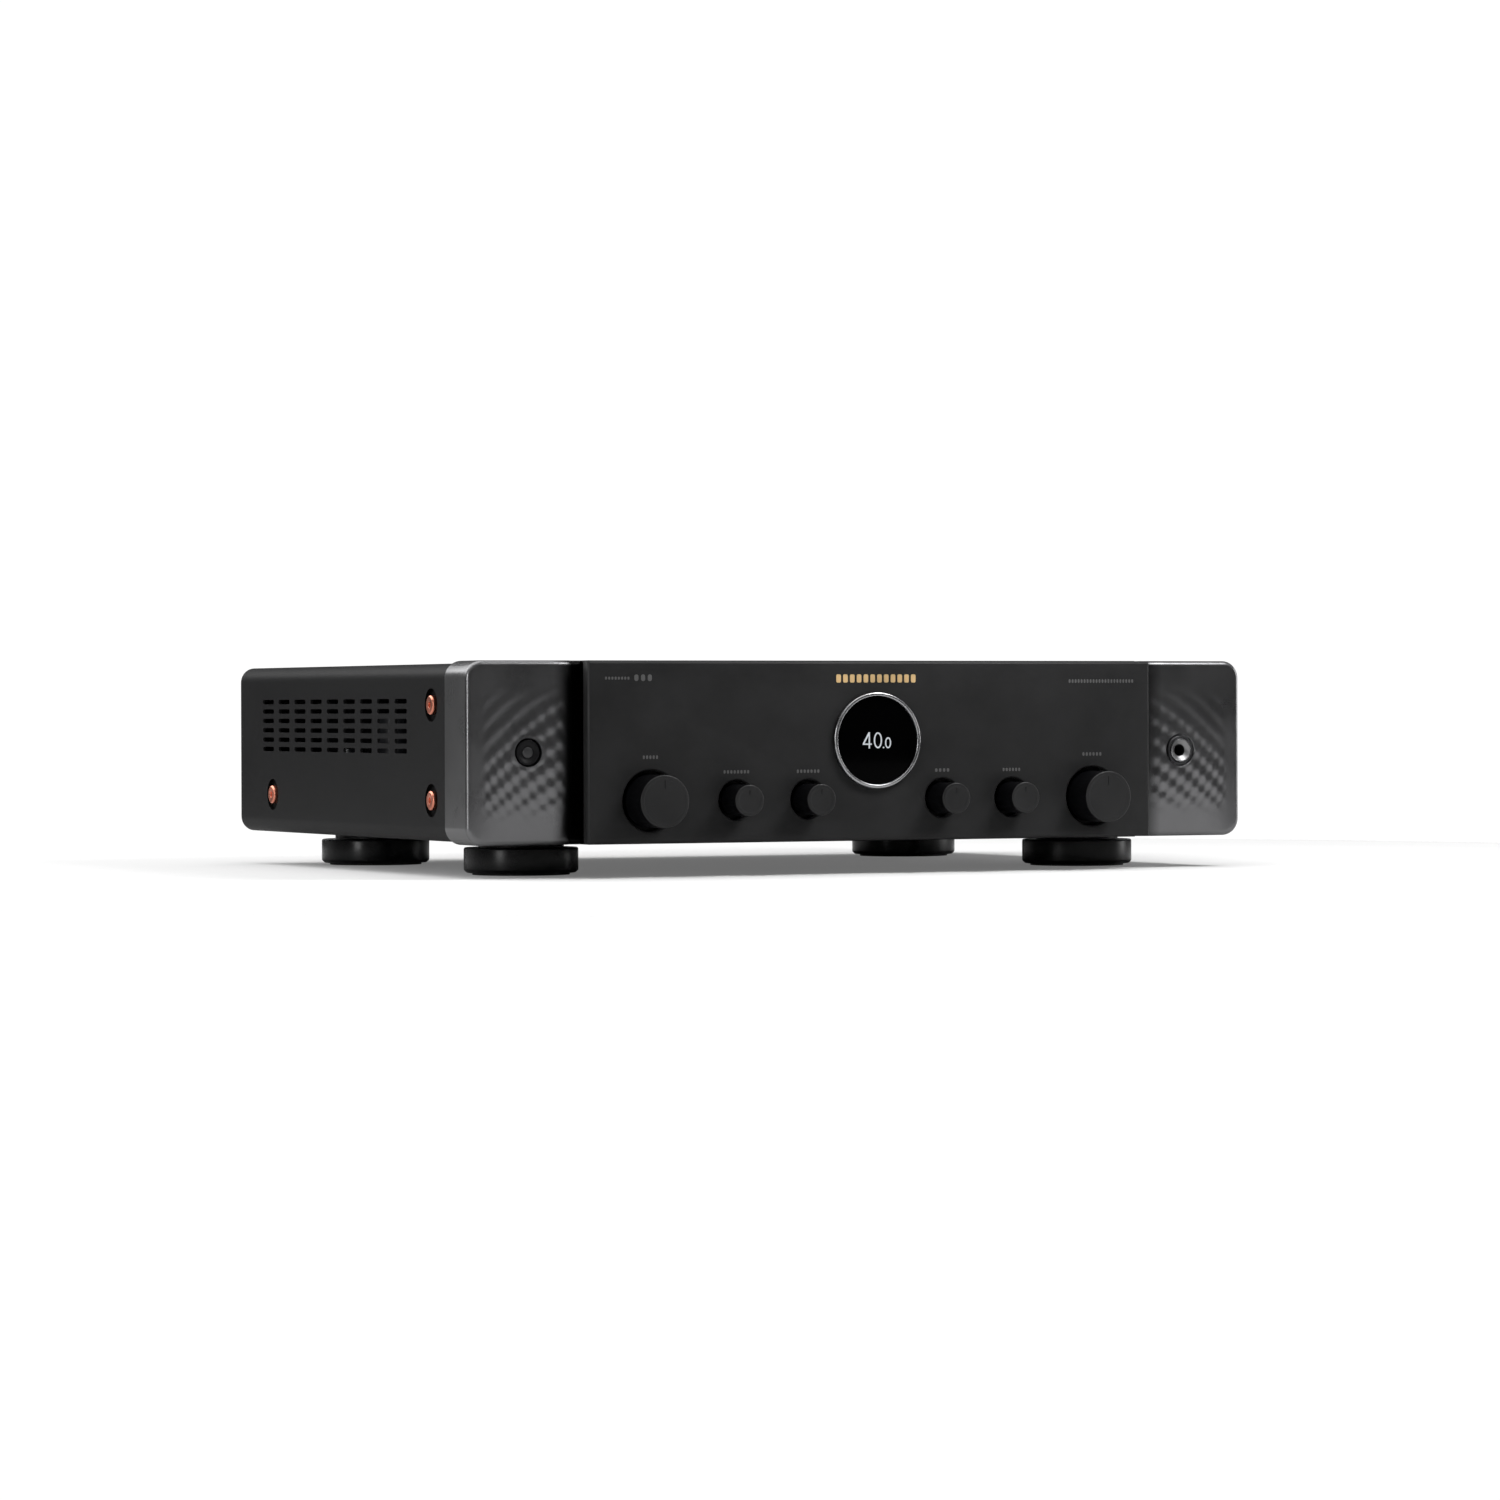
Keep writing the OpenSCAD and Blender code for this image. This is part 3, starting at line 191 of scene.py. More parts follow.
FINISH = {
    "zinc_sheet": finish_of("zinc_sheet", (0.52, 0.53, 0.54), 0.38, 1.0, grain=6, depth=0.01,
                            mottle=0.22, wear=0.1),
    "cover_paint": finish_of("cover_paint", (0.0145, 0.0145, 0.015), 0.46, grain=0.45,
                             depth=0.02, mottle=0.05, uneven=0.015, wear=0.008,
                             specular=0.06),
    "copper_screw": finish_of("copper_screw", (0.74, 0.27, 0.18), 0.32, 1.0, grain=0.3,
                              depth=0.006, mottle=0.12, wear=0.1),
    "rear_paint": finish_of("rear_paint", (0.028, 0.028, 0.029), 0.5, grain=0.5, depth=0.03,
                            wear=0.02),
    "black_screw": finish_of("black_screw", (0.05, 0.05, 0.052), 0.34, 0.8, depth=0.006,
                             wear=0.1),
    # The bezel's finish carries painted shade in its grooves and over the wings' inner rounding.
    "bezel_plastic": finish_of("bezel_plastic", (0.175, 0.175, 0.179), 0.3, 1.0, grain=0.22,
                               depth=0.002, mottle=0.06, uneven=0.03, shade=painted_groove_shade),
    "panel_aluminium": finish_of("panel_aluminium", (0.021, 0.021, 0.0215), 0.42, grain=0.16,
                                 depth=0.008, mottle=0.12, wear=0.02, specular=0.14),
    "chrome_ring": finish_of("chrome_ring", (0.4, 0.4, 0.41), 0.26, 1.0, grain=0.2,
                             depth=0.002, mottle=0.05, uneven=0.04),
    "display_glass": finish_of("display_glass", (0.0006, 0.0006, 0.0007), 0.12, grain=1.5,
                               depth=0.0005, mottle=0.2, uneven=0.02, specular=0.02),
    "display_parts": finish_of("display_parts", (0.03, 0.06, 0.035), 0.5, grain=0.6,
                               depth=0.02),
    "control_body": finish_of("control_body", (0.35, 0.35, 0.36), 0.4, 0.9, depth=0.01,
                              wear=0.1),
    "nickel": finish_of("nickel", (0.62, 0.61, 0.58), 0.26, 1.0, grain=0.25, depth=0.004,
                        mottle=0.1, wear=0.1),
    "circuit_board": finish_of("circuit_board", (0.018, 0.07, 0.03), 0.42, grain=1.1,
                               depth=0.02, mottle=0.3),
    "black_plastic": finish_of("black_plastic", (0.014, 0.014, 0.015), 0.4, grain=0.3,
                               depth=0.01, wear=0.02),
    "knob_metal": finish_of("knob_metal", (0.02, 0.02, 0.0205), 0.4, grain=0.14,
                            depth=0.004, mottle=0.1, wear=0.004, specular=0.2),
    "foot_plastic": finish_of("foot_plastic", (0.0015, 0.0015, 0.002), 0.3, grain=0.3,
                              depth=0.002, mottle=0.2, wear=0.01, specular=0.28),
    "pad_rubber": finish_of("pad_rubber", (0.016, 0.016, 0.016), 0.75, grain=0.5, depth=0.04,
                            mottle=0.3),
    "core_iron": finish_of("core_iron", (0.24, 0.22, 0.2), 0.5, 0.8, grain=0.5, depth=0.06,
                           stretch=(0.02, 0.02, 1), mottle=0.3),
    "coil_copper": finish_of("coil_copper", (0.6, 0.25, 0.1), 0.35, 0.9, grain=0.6, depth=0.15,
                             stretch=(0.05, 0.05, 1), mottle=0.25),
    "capacitor_sleeve": finish_of("capacitor_sleeve", (0.016, 0.018, 0.022), 0.3, grain=0.8,
                                  depth=0.008, mottle=0.2),
    "heat_sink_aluminium": finish_of("heat_sink_aluminium", (0.5, 0.5, 0.51), 0.42, 0.95,
                                     grain=0.4, depth=0.02, stretch=(0.05, 1, 1)),
    "socket_shell": finish_of("socket_shell", (0.55, 0.55, 0.54), 0.3, 1.0, depth=0.005,
                              mottle=0.12, wear=0.1),
    "gold_contact": finish_of("gold_contact", (0.83, 0.6, 0.26), 0.25, 1.0, depth=0.003,
                              mottle=0.1, wear=0.05),
    "post_red": finish_of("post_red", (0.42, 0.018, 0.014), 0.25, grain=0.4, depth=0.004,
                          coat=0.3),
    "post_black": finish_of("post_black", (0.012, 0.012, 0.013), 0.25, grain=0.4, depth=0.004,
                            coat=0.3),
    "antenna_plastic": finish_of("antenna_plastic", (0.013, 0.013, 0.014), 0.45, grain=0.35,
                                 depth=0.015),
}
# Finishes of a piece's second and third materials, and of what is printed on it.
# Painted shade: a darker copy of the knobs' finish, for their sides.
KNOB_SIDE_SHADE = finish_of("knob_side_painted_shade", (0.0025, 0.0025, 0.003), 0.42, grain=0.14, depth=0.004,
                      mottle=0.1, specular=0.07)
JACK_METAL = finish_of("jack_metal", (0.3, 0.3, 0.305), 0.42, 1.0, grain=0.2, depth=0.003,
                       mottle=0.1)
DULL_METAL = finish_of("dull_metal", (0.09, 0.09, 0.092), 0.38, 1.0, grain=0.2, depth=0.003,
                       mottle=0.1)
RING_RED = finish_of("ring_red", (0.5, 0.015, 0.012), 0.35, grain=0.4, depth=0.004)
RING_WHITE = finish_of("ring_white", (0.7, 0.7, 0.68), 0.35, grain=0.4, depth=0.004)
# Painted shade: nearly black, for the stamped recesses in the cover.
RECESS_PAINTED_SHADE = finish_of("recess_painted_shade", (0.002, 0.002, 0.002), 0.6, grain=0.4, depth=0.01,
                         specular=0.05)
BUTTON_BLACK = finish_of("button_black", (0.006, 0.006, 0.0065), 0.4, grain=0.3, depth=0.006,
                         wear=0.01, specular=0.15)
PRINT_GREY = finish_of("print_grey", (0.085, 0.085, 0.085), 0.5, grain=0.3, depth=0.003)
PRINT_GOLD = finish_of("print_gold", (0.72, 0.5, 0.24), 0.45, 0.4, grain=0.3, depth=0.003)
DIGIT_LIGHT = finish_of("digit_light", (0.5, 0.53, 0.56), 0.4, grain=0.4, depth=0.001,
                        mottle=0.04, light=0.24)


# ---------------------------------------------------------------- mesh helpers

def keep_mesh(piece, mesh, sharp=32.0):
    """Gives the piece a clean mesh: joined points, outward faces, smooth up to an angle."""
    bm = bmesh.new()
    bm.from_mesh(mesh)
    bmesh.ops.remove_doubles(bm, verts=bm.verts, dist=1e-7)
    bmesh.ops.recalc_face_normals(bm, faces=bm.faces)
    bm.to_mesh(mesh)
    bm.free()
    mesh.polygons.foreach_set("use_smooth", [True] * len(mesh.polygons))
    mesh.set_sharp_from_angle(angle=math.radians(sharp))
    piece.data = mesh


def make(name, shape, slot, body="receiver", stands_for=(), material=None, sharp=32.0):
    """A piece from vertices in millimetres and faces, with its finish, on its body."""
    verts, faces = shape
    mesh = bpy.data.meshes.new(name)
    mesh.from_pydata([Vector(v) * MM for v in verts], [], faces)
    piece = bpy.data.objects.new(name, mesh)
    scene.collection.objects.link(piece)
    keep_mesh(piece, mesh, sharp)
    mesh.materials.append(material or FINISH[slot])
    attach(piece, body)
    if stands_for:
        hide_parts(*stands_for)
    return piece


def join(*shapes):
    """Several shapes as one."""
    verts, faces = [], []
    for part_verts, part_faces in shapes:
        start = len(verts)
        verts += list(part_verts)
        faces += [[i + start for i in face] for face in part_faces]
    return verts, faces


def round_corners(points, radius, steps=5):
    """A closed outline with its corners turned into arcs; radius is one number or one each."""
    count = len(points)
    radii = radius if isinstance(radius, (list, tuple)) else [radius] * count
    rounded = []
    for i in range(count):
        here = Vector(points[i])
        to_last = Vector(points[i - 1]) - here
        to_next = Vector(points[(i + 1) % count]) - here
        turn = to_last.angle(to_next)
        if radii[i] <= 0 or turn > math.radians(179):
            rounded.append(tuple(here))
            continue
        reach = min(radii[i] / math.tan(turn / 2), 0.49 * min(to_last.length, to_next.length))
        r = reach * math.tan(turn / 2)
        middle = here + (to_last.normalized() + to_next.normalized()).normalized() * (
            r / math.sin(turn / 2))
        start = here + to_last.normalized() * reach - middle
        end = here + to_next.normalized() * reach - middle
        for k in range(steps + 1):
            share = k / steps
            angle = start.angle(end)
            weight_a = math.sin((1 - share) * angle) / math.sin(angle)
            weight_b = math.sin(share * angle) / math.sin(angle)
            rounded.append(tuple(middle + start * weight_a + end * weight_b))
    return rounded


def place_on(axis, centre, a, b, along):
    """The point at (a, b) from the centre, across the axis, and at that place along the axis."""
    if axis == "x":
        return (along, centre[0] + a, centre[1] + b)
    if axis == "y":
        return (centre[0] + a, along, centre[1] + b)
    return (centre[0] + a, centre[1] + b, along)


def lathe(profile, axis, centre, segments=96, closed=False, wave=None):
    """A profile of (radius, place along the axis) turned about it; wave(angle, radius) ripples it."""
    verts, rings = [], []
    for radius, along in profile:
        start = len(verts)
        if radius < 1e-6:
            verts.append(place_on(axis, centre, 0, 0, along))
            rings.append([start] * segments)
            continue
        for i in range(segments):
            angle = math.tau * i / segments
            r = radius + (wave(angle, radius) if wave else 0)
            verts.append(place_on(axis, centre, r * math.cos(angle), r * math.sin(angle), along))
        rings.append([start + i for i in range(segments)])
    faces = []
    pairs = list(zip(rings, rings[1:])) + ([(rings[-1], rings[0])] if closed else [])
    for low, high in pairs:
        for i in range(segments):
            j = (i + 1) % segments
            corners = list(dict.fromkeys([low[i], low[j], high[j], high[i]]))
            if len(corners) > 2:
                faces.append(corners)
    return verts, faces


def plate(loops, front_y, back_y):
    """A flat plate standing in X and Z, from closed outlines (the inner ones are its holes)."""
    curve = bpy.data.curves.new("outline", "CURVE")
    curve.dimensions = "2D"
    curve.fill_mode = "BOTH"
    curve.extrude = abs(back_y - front_y) / 2
    for loop in loops:
        spline = curve.splines.new("POLY")
        spline.points.add(len(loop) - 1)
        for point, (x, z) in zip(spline.points, loop):
            point.co = (x, z, 0, 1)
        spline.use_cyclic_u = True
    holder = bpy.data.objects.new("outline", curve)
    scene.collection.objects.link(holder)
    bpy.context.view_layer.update()
    mesh = holder.evaluated_get(bpy.context.evaluated_depsgraph_get()).to_mesh()
    middle = (front_y + back_y) / 2
    verts = [(v.co.x, middle - v.co.z, v.co.y) for v in mesh.vertices]
    faces = [list(p.vertices) for p in mesh.polygons]
    bpy.data.objects.remove(holder)
    bpy.data.curves.remove(curve)
    return verts, faces


def ellipse(x, z, rx, rz, segments=48):
    """A closed outline round a point."""
    angles = [math.tau * i / segments for i in range(segments)]
    return [(x + rx * math.cos(a), z + rz * math.sin(a)) for a in angles]


def box_shape(low, high):
    """A box between two corners."""
    verts = [(x, y, z) for x in (low[0], high[0]) for y in (low[1], high[1])
             for z in (low[2], high[2])]
    faces = [[0, 1, 3, 2], [4, 6, 7, 5], [0, 4, 5, 1], [2, 3, 7, 6], [0, 2, 6, 4], [1, 5, 7, 3]]
    return verts, faces


def rod(axis, centre, radius, start, end, segments=64):
    """A plain rod, for cutting."""
    return lathe([(0, start), (radius, start), (radius, end), (0, end)], axis, centre, segments)


def cut(piece, *shapes):
    """Takes the shapes away from the piece."""
    for shape in shapes:
        mesh = bpy.data.meshes.new("cutter")
        mesh.from_pydata([Vector(v) * MM for v in shape[0]], [], shape[1])
        cutter = bpy.data.objects.new("cutter", mesh)
        scene.collection.objects.link(cutter)
        keep_mesh(cutter, mesh)
        modifier = piece.modifiers.new("cut", "BOOLEAN")
        modifier.operation = "DIFFERENCE"
        modifier.solver = "EXACT"
        modifier.object = cutter
        bpy.context.view_layer.update()
        graph = bpy.context.evaluated_depsgraph_get()
        result = bpy.data.meshes.new_from_object(piece.evaluated_get(graph))
        piece.modifiers.remove(modifier)
        bpy.data.objects.remove(cutter)
        keep_mesh(piece, result)


def paint_faces(piece, materials, choose):
    """Adds the materials, and gives each face the one that choose(face centre in mm) names."""
    for material in materials:
        piece.data.materials.append(material)
    for face in piece.data.polygons:
        face.material_index = choose(face.center / MM)


def softened(node, slot, body="receiver", width=0.3, angle=35.0, steps=2):
    """A copy of a CAD node with its edges rounded in the mesh, standing for the node."""
    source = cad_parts[node]
    mesh = source.data.copy()
    mesh.materials.clear()
    bm = bmesh.new()
    bm.from_mesh(mesh)
    bmesh.ops.remove_doubles(bm, verts=bm.verts, dist=2e-6)
    bmesh.ops.dissolve_limit(bm, angle_limit=math.radians(0.6), verts=bm.verts, edges=bm.edges)
    edges = [e for e in bm.edges if len(e.link_faces) == 2
             and e.calc_face_angle(0) > math.radians(angle)]
    bmesh.ops.bevel(bm, geom=edges, offset=width * MM, segments=steps, profile=0.5,
                    affect="EDGES", clamp_overlap=True)
    bm.to_mesh(mesh)
    bm.free()
    if "custom_normal" in mesh.attributes:
        mesh.attributes.remove(mesh.attributes["custom_normal"])
    piece = bpy.data.objects.new(node + "_rounded", mesh)
    scene.collection.objects.link(piece)
    keep_mesh(piece, mesh)
    mesh.materials.append(FINISH[slot])
    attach(piece, body)
    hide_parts(node)
    return piece


# ---------------------------------------------------------------- front bezel

# The relief's ridges: their spacing and heights, and where it fades out towards the wing's edges,
# as pairs (none, full) in height and in distance from the wing's inner edge.
RIDGE_PITCH, RIDGE_H, CROSS_H = 10.25, 0.12, 0.072
FADE_LOW_Z, FADE_HIGH_Z = (27, 40), (96, 87)
FADE_INNER_W, FADE_OUTER_W = (1.5, 8.0), (51, 45)
FADE_HOLE_R = (7.6, 9.6)
# The wing's lower part leans in by this much at its foot, from this height down, and does so in
# full only this far from its outer edge.
TUCK_D, TUCK_Z, TUCK_X = 3.0, 62, 196


def smooth_step(low, high, value):
    """0 below low, 1 above high and smooth between; low may be above high."""
    share = np.clip((value - low) / (high - low), 0, 1)
    return share * share * (3 - 2 * share)


def fall(w):
    """How far the wing's ridges have dropped at w from the wing's inner edge."""
    return 0.52 * w + 0.00475 * w * w


def wing_relief(x, z):
    """The height of the wings' moulded ripples: curved ridges crossed by lower ones."""
    w = np.abs(x) - WING_EDGE_X
    ridge = z + fall(w) - 0.9
    cross = z - 2 * fall(w) - 0.005 * (z - 62) ** 2 - 9.8
    upper = smooth_step(84, 104, z + fall(w))
    height = RIDGE_H * np.cos(math.tau * ridge / RIDGE_PITCH)
    height += CROSS_H * (1 - 0.75 * upper) * np.cos(math.tau * cross / RIDGE_PITCH)
    field = smooth_step(*FADE_LOW_Z, z) * smooth_step(*FADE_HIGH_Z, z)
    field *= smooth_step(*FADE_INNER_W, w) * smooth_step(*FADE_OUTER_W, w) * (1 - 0.35 * upper)
    for hole_x, hole_z in ((BUTTON_X, BUTTON_Z), (JACK_X, JACK_Z)):
        field *= smooth_step(*FADE_HOLE_R, np.hypot(x - hole_x, z - hole_z))
    return height * field


def bezel_depth(x, z):
    """Y of the bezel's front at each point: wings outside, then the grooves, then the seat."""
    half_h = (BEZEL_Z1 - BEZEL_Z0) / 2
    qx = np.abs(x) - (BEZEL_HALF_W - BEZEL_CORNER_R)
    qz = np.abs(z - (BEZEL_Z0 + half_h)) - (half_h - BEZEL_CORNER_R)
    outside = np.hypot(np.maximum(qx, 0), np.maximum(qz, 0))
    inset = np.clip(BEZEL_CORNER_R - outside - np.minimum(np.maximum(qx, qz), 0), 0, None)
    reach = BEZEL_EDGE_R - np.minimum(inset, BEZEL_EDGE_R)
    edge = BEZEL_EDGE_R - np.sqrt(np.maximum(BEZEL_EDGE_R ** 2 - reach ** 2, 0))
    away = np.abs(x)
    run = np.clip((WING_EDGE_X + WING_ROUND_W - away) / WING_ROUND_W, 0, 1)
    turn = WING_ROUND_D * (1 - np.sqrt(1 - run ** 2))
    lean = np.clip(TUCK_Z - z, 0, None) / (TUCK_Z - BEZEL_Z0)
    tuck = TUCK_D * lean ** 2 * smooth_step(BEZEL_HALF_W, TUCK_X, away)
    wing = WING_Y + turn + edge + tuck - wing_relief(x, z)
    groove = GROOVE_Y + edge
    seat = PANEL_BACK_Y + edge
    return np.where(away >= WING_EDGE_X, wing, np.where(away > SEAT_HALF_W - 0.1, groove, seat))


def bezel_shape():
    """The bezel's skin: a fine field over the front, walls round it and a back face."""
    strip_w = 13
    strip_x = BEZEL_HALF_W - strip_w
    quarter = [math.radians(9 * k) for k in range(11)]
    edge_steps = [BEZEL_EDGE_R * (1 - math.sin(a)) for a in quarter]
    middle = [0, 40, 80, 120, 150, 155.8, 156.1, 160, 163.45]
    turn = [WING_EDGE_X + WING_ROUND_W * (1 - math.sin(a)) for a in reversed(quarter)]
    turn = sorted(turn + list(np.arange(166.0, 174.1, 0.5)))
    wing = list(np.arange(175.0, strip_x + 0.01, 0.5))
    outer = list(np.arange(0.5, 9.01, 0.5)) + [strip_w - d for d in edge_steps]
    heights = [BEZEL_Z0 + d for d in reversed(edge_steps)]
    heights += list(np.arange(BEZEL_Z0 + 4, BEZEL_Z1 - 3.9, 0.5))
    heights += [BEZEL_Z1 - d for d in edge_steps]
    rows = []
    for z in heights:
        into = max(BEZEL_Z0 + BEZEL_CORNER_R - z, z - BEZEL_Z1 + BEZEL_CORNER_R, 0)
        end = BEZEL_HALF_W - BEZEL_CORNER_R + math.sqrt(max(BEZEL_CORNER_R ** 2 - into ** 2, 0))
        half = middle + turn + wing + [strip_x + o * (end - strip_x) / strip_w for o in outer]
        rows.append([-x for x in reversed(half[1:])] + half)
    x = np.array(rows)
    z = np.repeat(np.array(heights)[:, None], x.shape[1], axis=1)
    y = bezel_depth(x, z)
    verts = np.stack([x, y, z], -1).reshape(-1, 3).tolist()
    n_rows, n_cols = x.shape
    faces = [[r * n_cols + c, r * n_cols + c + 1, (r + 1) * n_cols + c + 1, (r + 1) * n_cols + c]
             for r in range(n_rows - 1) for c in range(n_cols - 1)]
    rim = list(range(n_cols))
    rim += [r * n_cols + n_cols - 1 for r in range(1, n_rows)]
    rim += [(n_rows - 1) * n_cols + c for c in range(n_cols - 2, -1, -1)]
    rim += [r * n_cols for r in range(n_rows - 2, 0, -1)]
    start = len(verts)
    verts += [(verts[i][0], CASE_Y, verts[i][2]) for i in rim]
    for k in range(len(rim)):
        n = (k + 1) % len(rim)
        faces.append([rim[k], rim[n], start + n, start + k])
    faces.append([start + k for k in range(len(rim))])
    return verts, faces


def build_bezel():
    """The front bezel with its wings, its hollow back, and holes for what comes through it."""
    bezel = make("bezel_moulding", bezel_shape(), "bezel_plastic", stands_for=["front_bezel"],
                 sharp=40)
    cut(bezel, box_shape((-218.4, -153.5, 19.3), (218.4, CASE_Y + 1, 106.4)),
        join(box_shape((-153.5, -165.2, 20.5), (153.5, -153, 105.2)),
             box_shape((-218.4, -160.0, 22.0), (-172.6, -153, 104.0)),
             box_shape((172.6, -160.0, 22.0), (218.4, -153, 104.0))))
    holes = [rod("y", (place[1], KNOB_Z), 4.6, -175, -160) for place in KNOBS.values()]
    holes.append(rod("y", (0, DISPLAY_Z), 22.2, -175, -160, 96))
    holes.append(lathe([(0, -168), (9.2, -168), (9.2, WING_Y - 2.0), (7.3, WING_Y),
                        (7.0, WING_Y + 0.8), (7.0, -155), (0, -155)],
                       "y", (BUTTON_X, BUTTON_Z), 72))
    holes.append(lathe([(0, -168), (8.9, -168), (8.9, WING_Y - 0.2), (8.4, WING_Y + 0.3),
                        (8.4, WING_Y + 1.5), (6.1, WING_Y + 1.5), (6.1, -155), (0, -155)],
                       "y", (JACK_X, JACK_Z), 72))
    cut(bezel, join(*holes))


# ---------------------------------------------------------------- panel, knobs and display

def build_panel():
    """The thick front plate, with its own edges softened."""
    softened("front_panel", "panel_aluminium", width=0.18, angle=25)


def knob_shape(x, radius, face_y, back_y):
    """A knob: straight skirt, softened rim and a shallow dished face."""
    rim = 0.9 if radius > 10 else 0.7
    outline = [(0, back_y), (radius - 0.5, back_y), (radius, back_y - 0.5),
               (radius, face_y), (radius - 1.6, face_y + 0.02), (radius - 2.3, face_y + 0.16),
               (0, face_y + 0.3)]
    profile = round_corners(outline, [0, 0.3, 0.3, rim, 0.4, 0.5, 0], 6)
    return lathe(profile, "y", (x, KNOB_Z), 128)


def build_knobs():
    """The six knobs, each with a fine index line, a bore for its shaft, and painted shade: a darker
    copy of the finish on its sides and back.
    """
    for node, (body, x, radius, face_y) in KNOBS.items():
        back_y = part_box(node)[1].y / MM
        knob = make(node + "_turned", knob_shape(x, radius, face_y, back_y), "knob_metal", body,
                    [node])
        reach = radius - 2.6
        line = box_shape((x - 0.2, face_y - 1, KNOB_Z + reach - radius * 0.34),
                         (x + 0.2, face_y + 0.5, KNOB_Z + reach))
        bore = rod("y", (x, KNOB_Z), 3.0, back_y - 7, back_y + 1, 48)
        cut(knob, line, bore)
        # Painted shade: the faces that don't look forward take the darker copy.
        knob.data.materials.append(KNOB_SIDE_SHADE)
        for face in knob.data.polygons:
            if face.normal.y > -0.55:
                face.material_index = 1


def build_button():
    """The power button: a dark cap with a dished face and a small boss in its middle."""
    low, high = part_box("power_button")
    front, back = low.y / MM, high.y / MM
    outline = [(0, back), (1.6, back), (1.6, -159.2), (8.0, -159.2), (8.0, -160.4),
               (6.3, -160.4), (6.3, front), (5.3, front), (3.4, front + 0.7),
               (2.8, front + 0.7), (2.5, front + 0.15), (0, front + 0.1)]
    profile = round_corners(outline, [0, 0.2, 0.2, 0.2, 0.2, 0.1, 0.5, 0.4, 0.6, 0.2, 0.3, 0], 5)
    cap = make("power_cap", lathe(profile, "y", (BUTTON_X, BUTTON_Z), 96), "black_plastic",
               "power_button", ["power_button"], BUTTON_BLACK, sharp=50)

    def boss(centre):
        out = math.hypot(centre.x - BUTTON_X, centre.z - BUTTON_Z)
        return 1 if centre.y < front + 0.9 and out < 2.7 else 0

    paint_faces(cap, [DULL_METAL], boss)


def build_headphone_socket():
    """The socket with its bright turned bush, and the round nut in the wing's recess, black as
    painted shade there.
    """
    socket = softened("headphone_jack", "black_plastic", width=0.25)
    cut(socket, lathe([(0, -164.6), (5.9, -164.6), (5.5, -164.15), (3.25, -162.4), (0, -162.4)],
                      "y", (JACK_X, JACK_Z), 96))

    def bush(centre):
        out = math.hypot(centre.x - JACK_X, centre.z - JACK_Z)
        if centre.y > -160 or not 3.0 < out < 6.3:
            return 0
        return 1 if out > 5.6 else 2

    paint_faces(socket, [FINISH["chrome_ring"], JACK_METAL], bush)
    # Painted shade: the nut is black so that the wing's recess reads dark round the bush.
    nut = [(6.2, -162.0), (6.2, -163.5), (6.5, -163.8), (7.3, -163.8), (7.7, -163.3),
           (7.7, -162.0)]
    make("headphone_ring", lathe(round_corners(nut, 0.15, 3), "y", (JACK_X, JACK_Z), 96,
                                 closed=True), "black_screw", stands_for=["headphone_nut"])


def build_display():
    """The bright ring, the black window and the lit figures behind it."""
    ring = round_corners([(22.6, -168.2), (22.6, -177.15), (24.6, -177.15), (24.6, -174.75),
                          (23.5, -174.75), (23.5, -168.2)], [0, 0.7, 0.9, 0.2, 0, 0], 6)
    make("display_trim", lathe(ring, "y", (0, DISPLAY_Z), 160, closed=True), "chrome_ring",
         stands_for=["display_ring"])
    glass = round_corners([(0, -175.9), (22.55, -175.7), (22.55, -173.9), (0, -173.9)],
                          [0, 0.4, 0, 0], 4)
    make("display_lens", lathe(glass, "y", (0, DISPLAY_Z), 160), "display_glass",
         stands_for=["display_window"])
    front, back = -176.02, -175.85
    tall, wide, stroke = 8.2, 4.7, 0.75
    x0, z0 = -8.2, DISPLAY_Z - tall / 2
    four = [(x0 + 3.3, z0), (x0 + 4.05, z0), (x0 + 4.05, z0 + 1.8), (x0 + 5.1, z0 + 1.8),
            (x0 + 5.1, z0 + 2.5), (x0 + 4.05, z0 + 2.5), (x0 + 4.05, z0 + tall),
            (x0 + 3.2, z0 + tall), (x0, z0 + 2.5), (x0, z0 + 1.8), (x0 + 3.3, z0 + 1.8)]
    inner = [(x0 + 0.9, z0 + 2.5), (x0 + 3.3, z0 + 2.5), (x0 + 3.3, z0 + tall - 1.7)]
    figures = [plate([four, inner], front, back)]
    for x, z, w, h, s in ((x0 + 8.6, DISPLAY_Z, wide, tall, stroke),
                          (x0 + 14.4, z0 + 2.8, 3.4, 5.6, 0.65)):
        figures.append(plate([ellipse(x, z, w / 2, h / 2), ellipse(x, z, w / 2 - s, h / 2 - s)],
                             front, back))
    figures.append(plate([ellipse(x0 + 11.8, z0 + 0.4, 0.42, 0.42, 24)], front, back))
    make("display_figures", join(*figures), "display_parts", material=DIGIT_LIGHT)


def dashes(x, z, width, height, count, front_y):
    """A row of short printed bars, evenly spaced over a width."""
    step = width / count
    bars = []
    for i in range(count):
        left = x - width / 2 + i * step
        bar = [(left, z - height / 2), (left + step * 0.62, z - height / 2),
               (left + step * 0.62, z + height / 2), (left, z + height / 2)]
        bars.append(plate([round_corners(bar, height * 0.3, 3)], front_y, front_y + 0.1))
    return join(*bars)


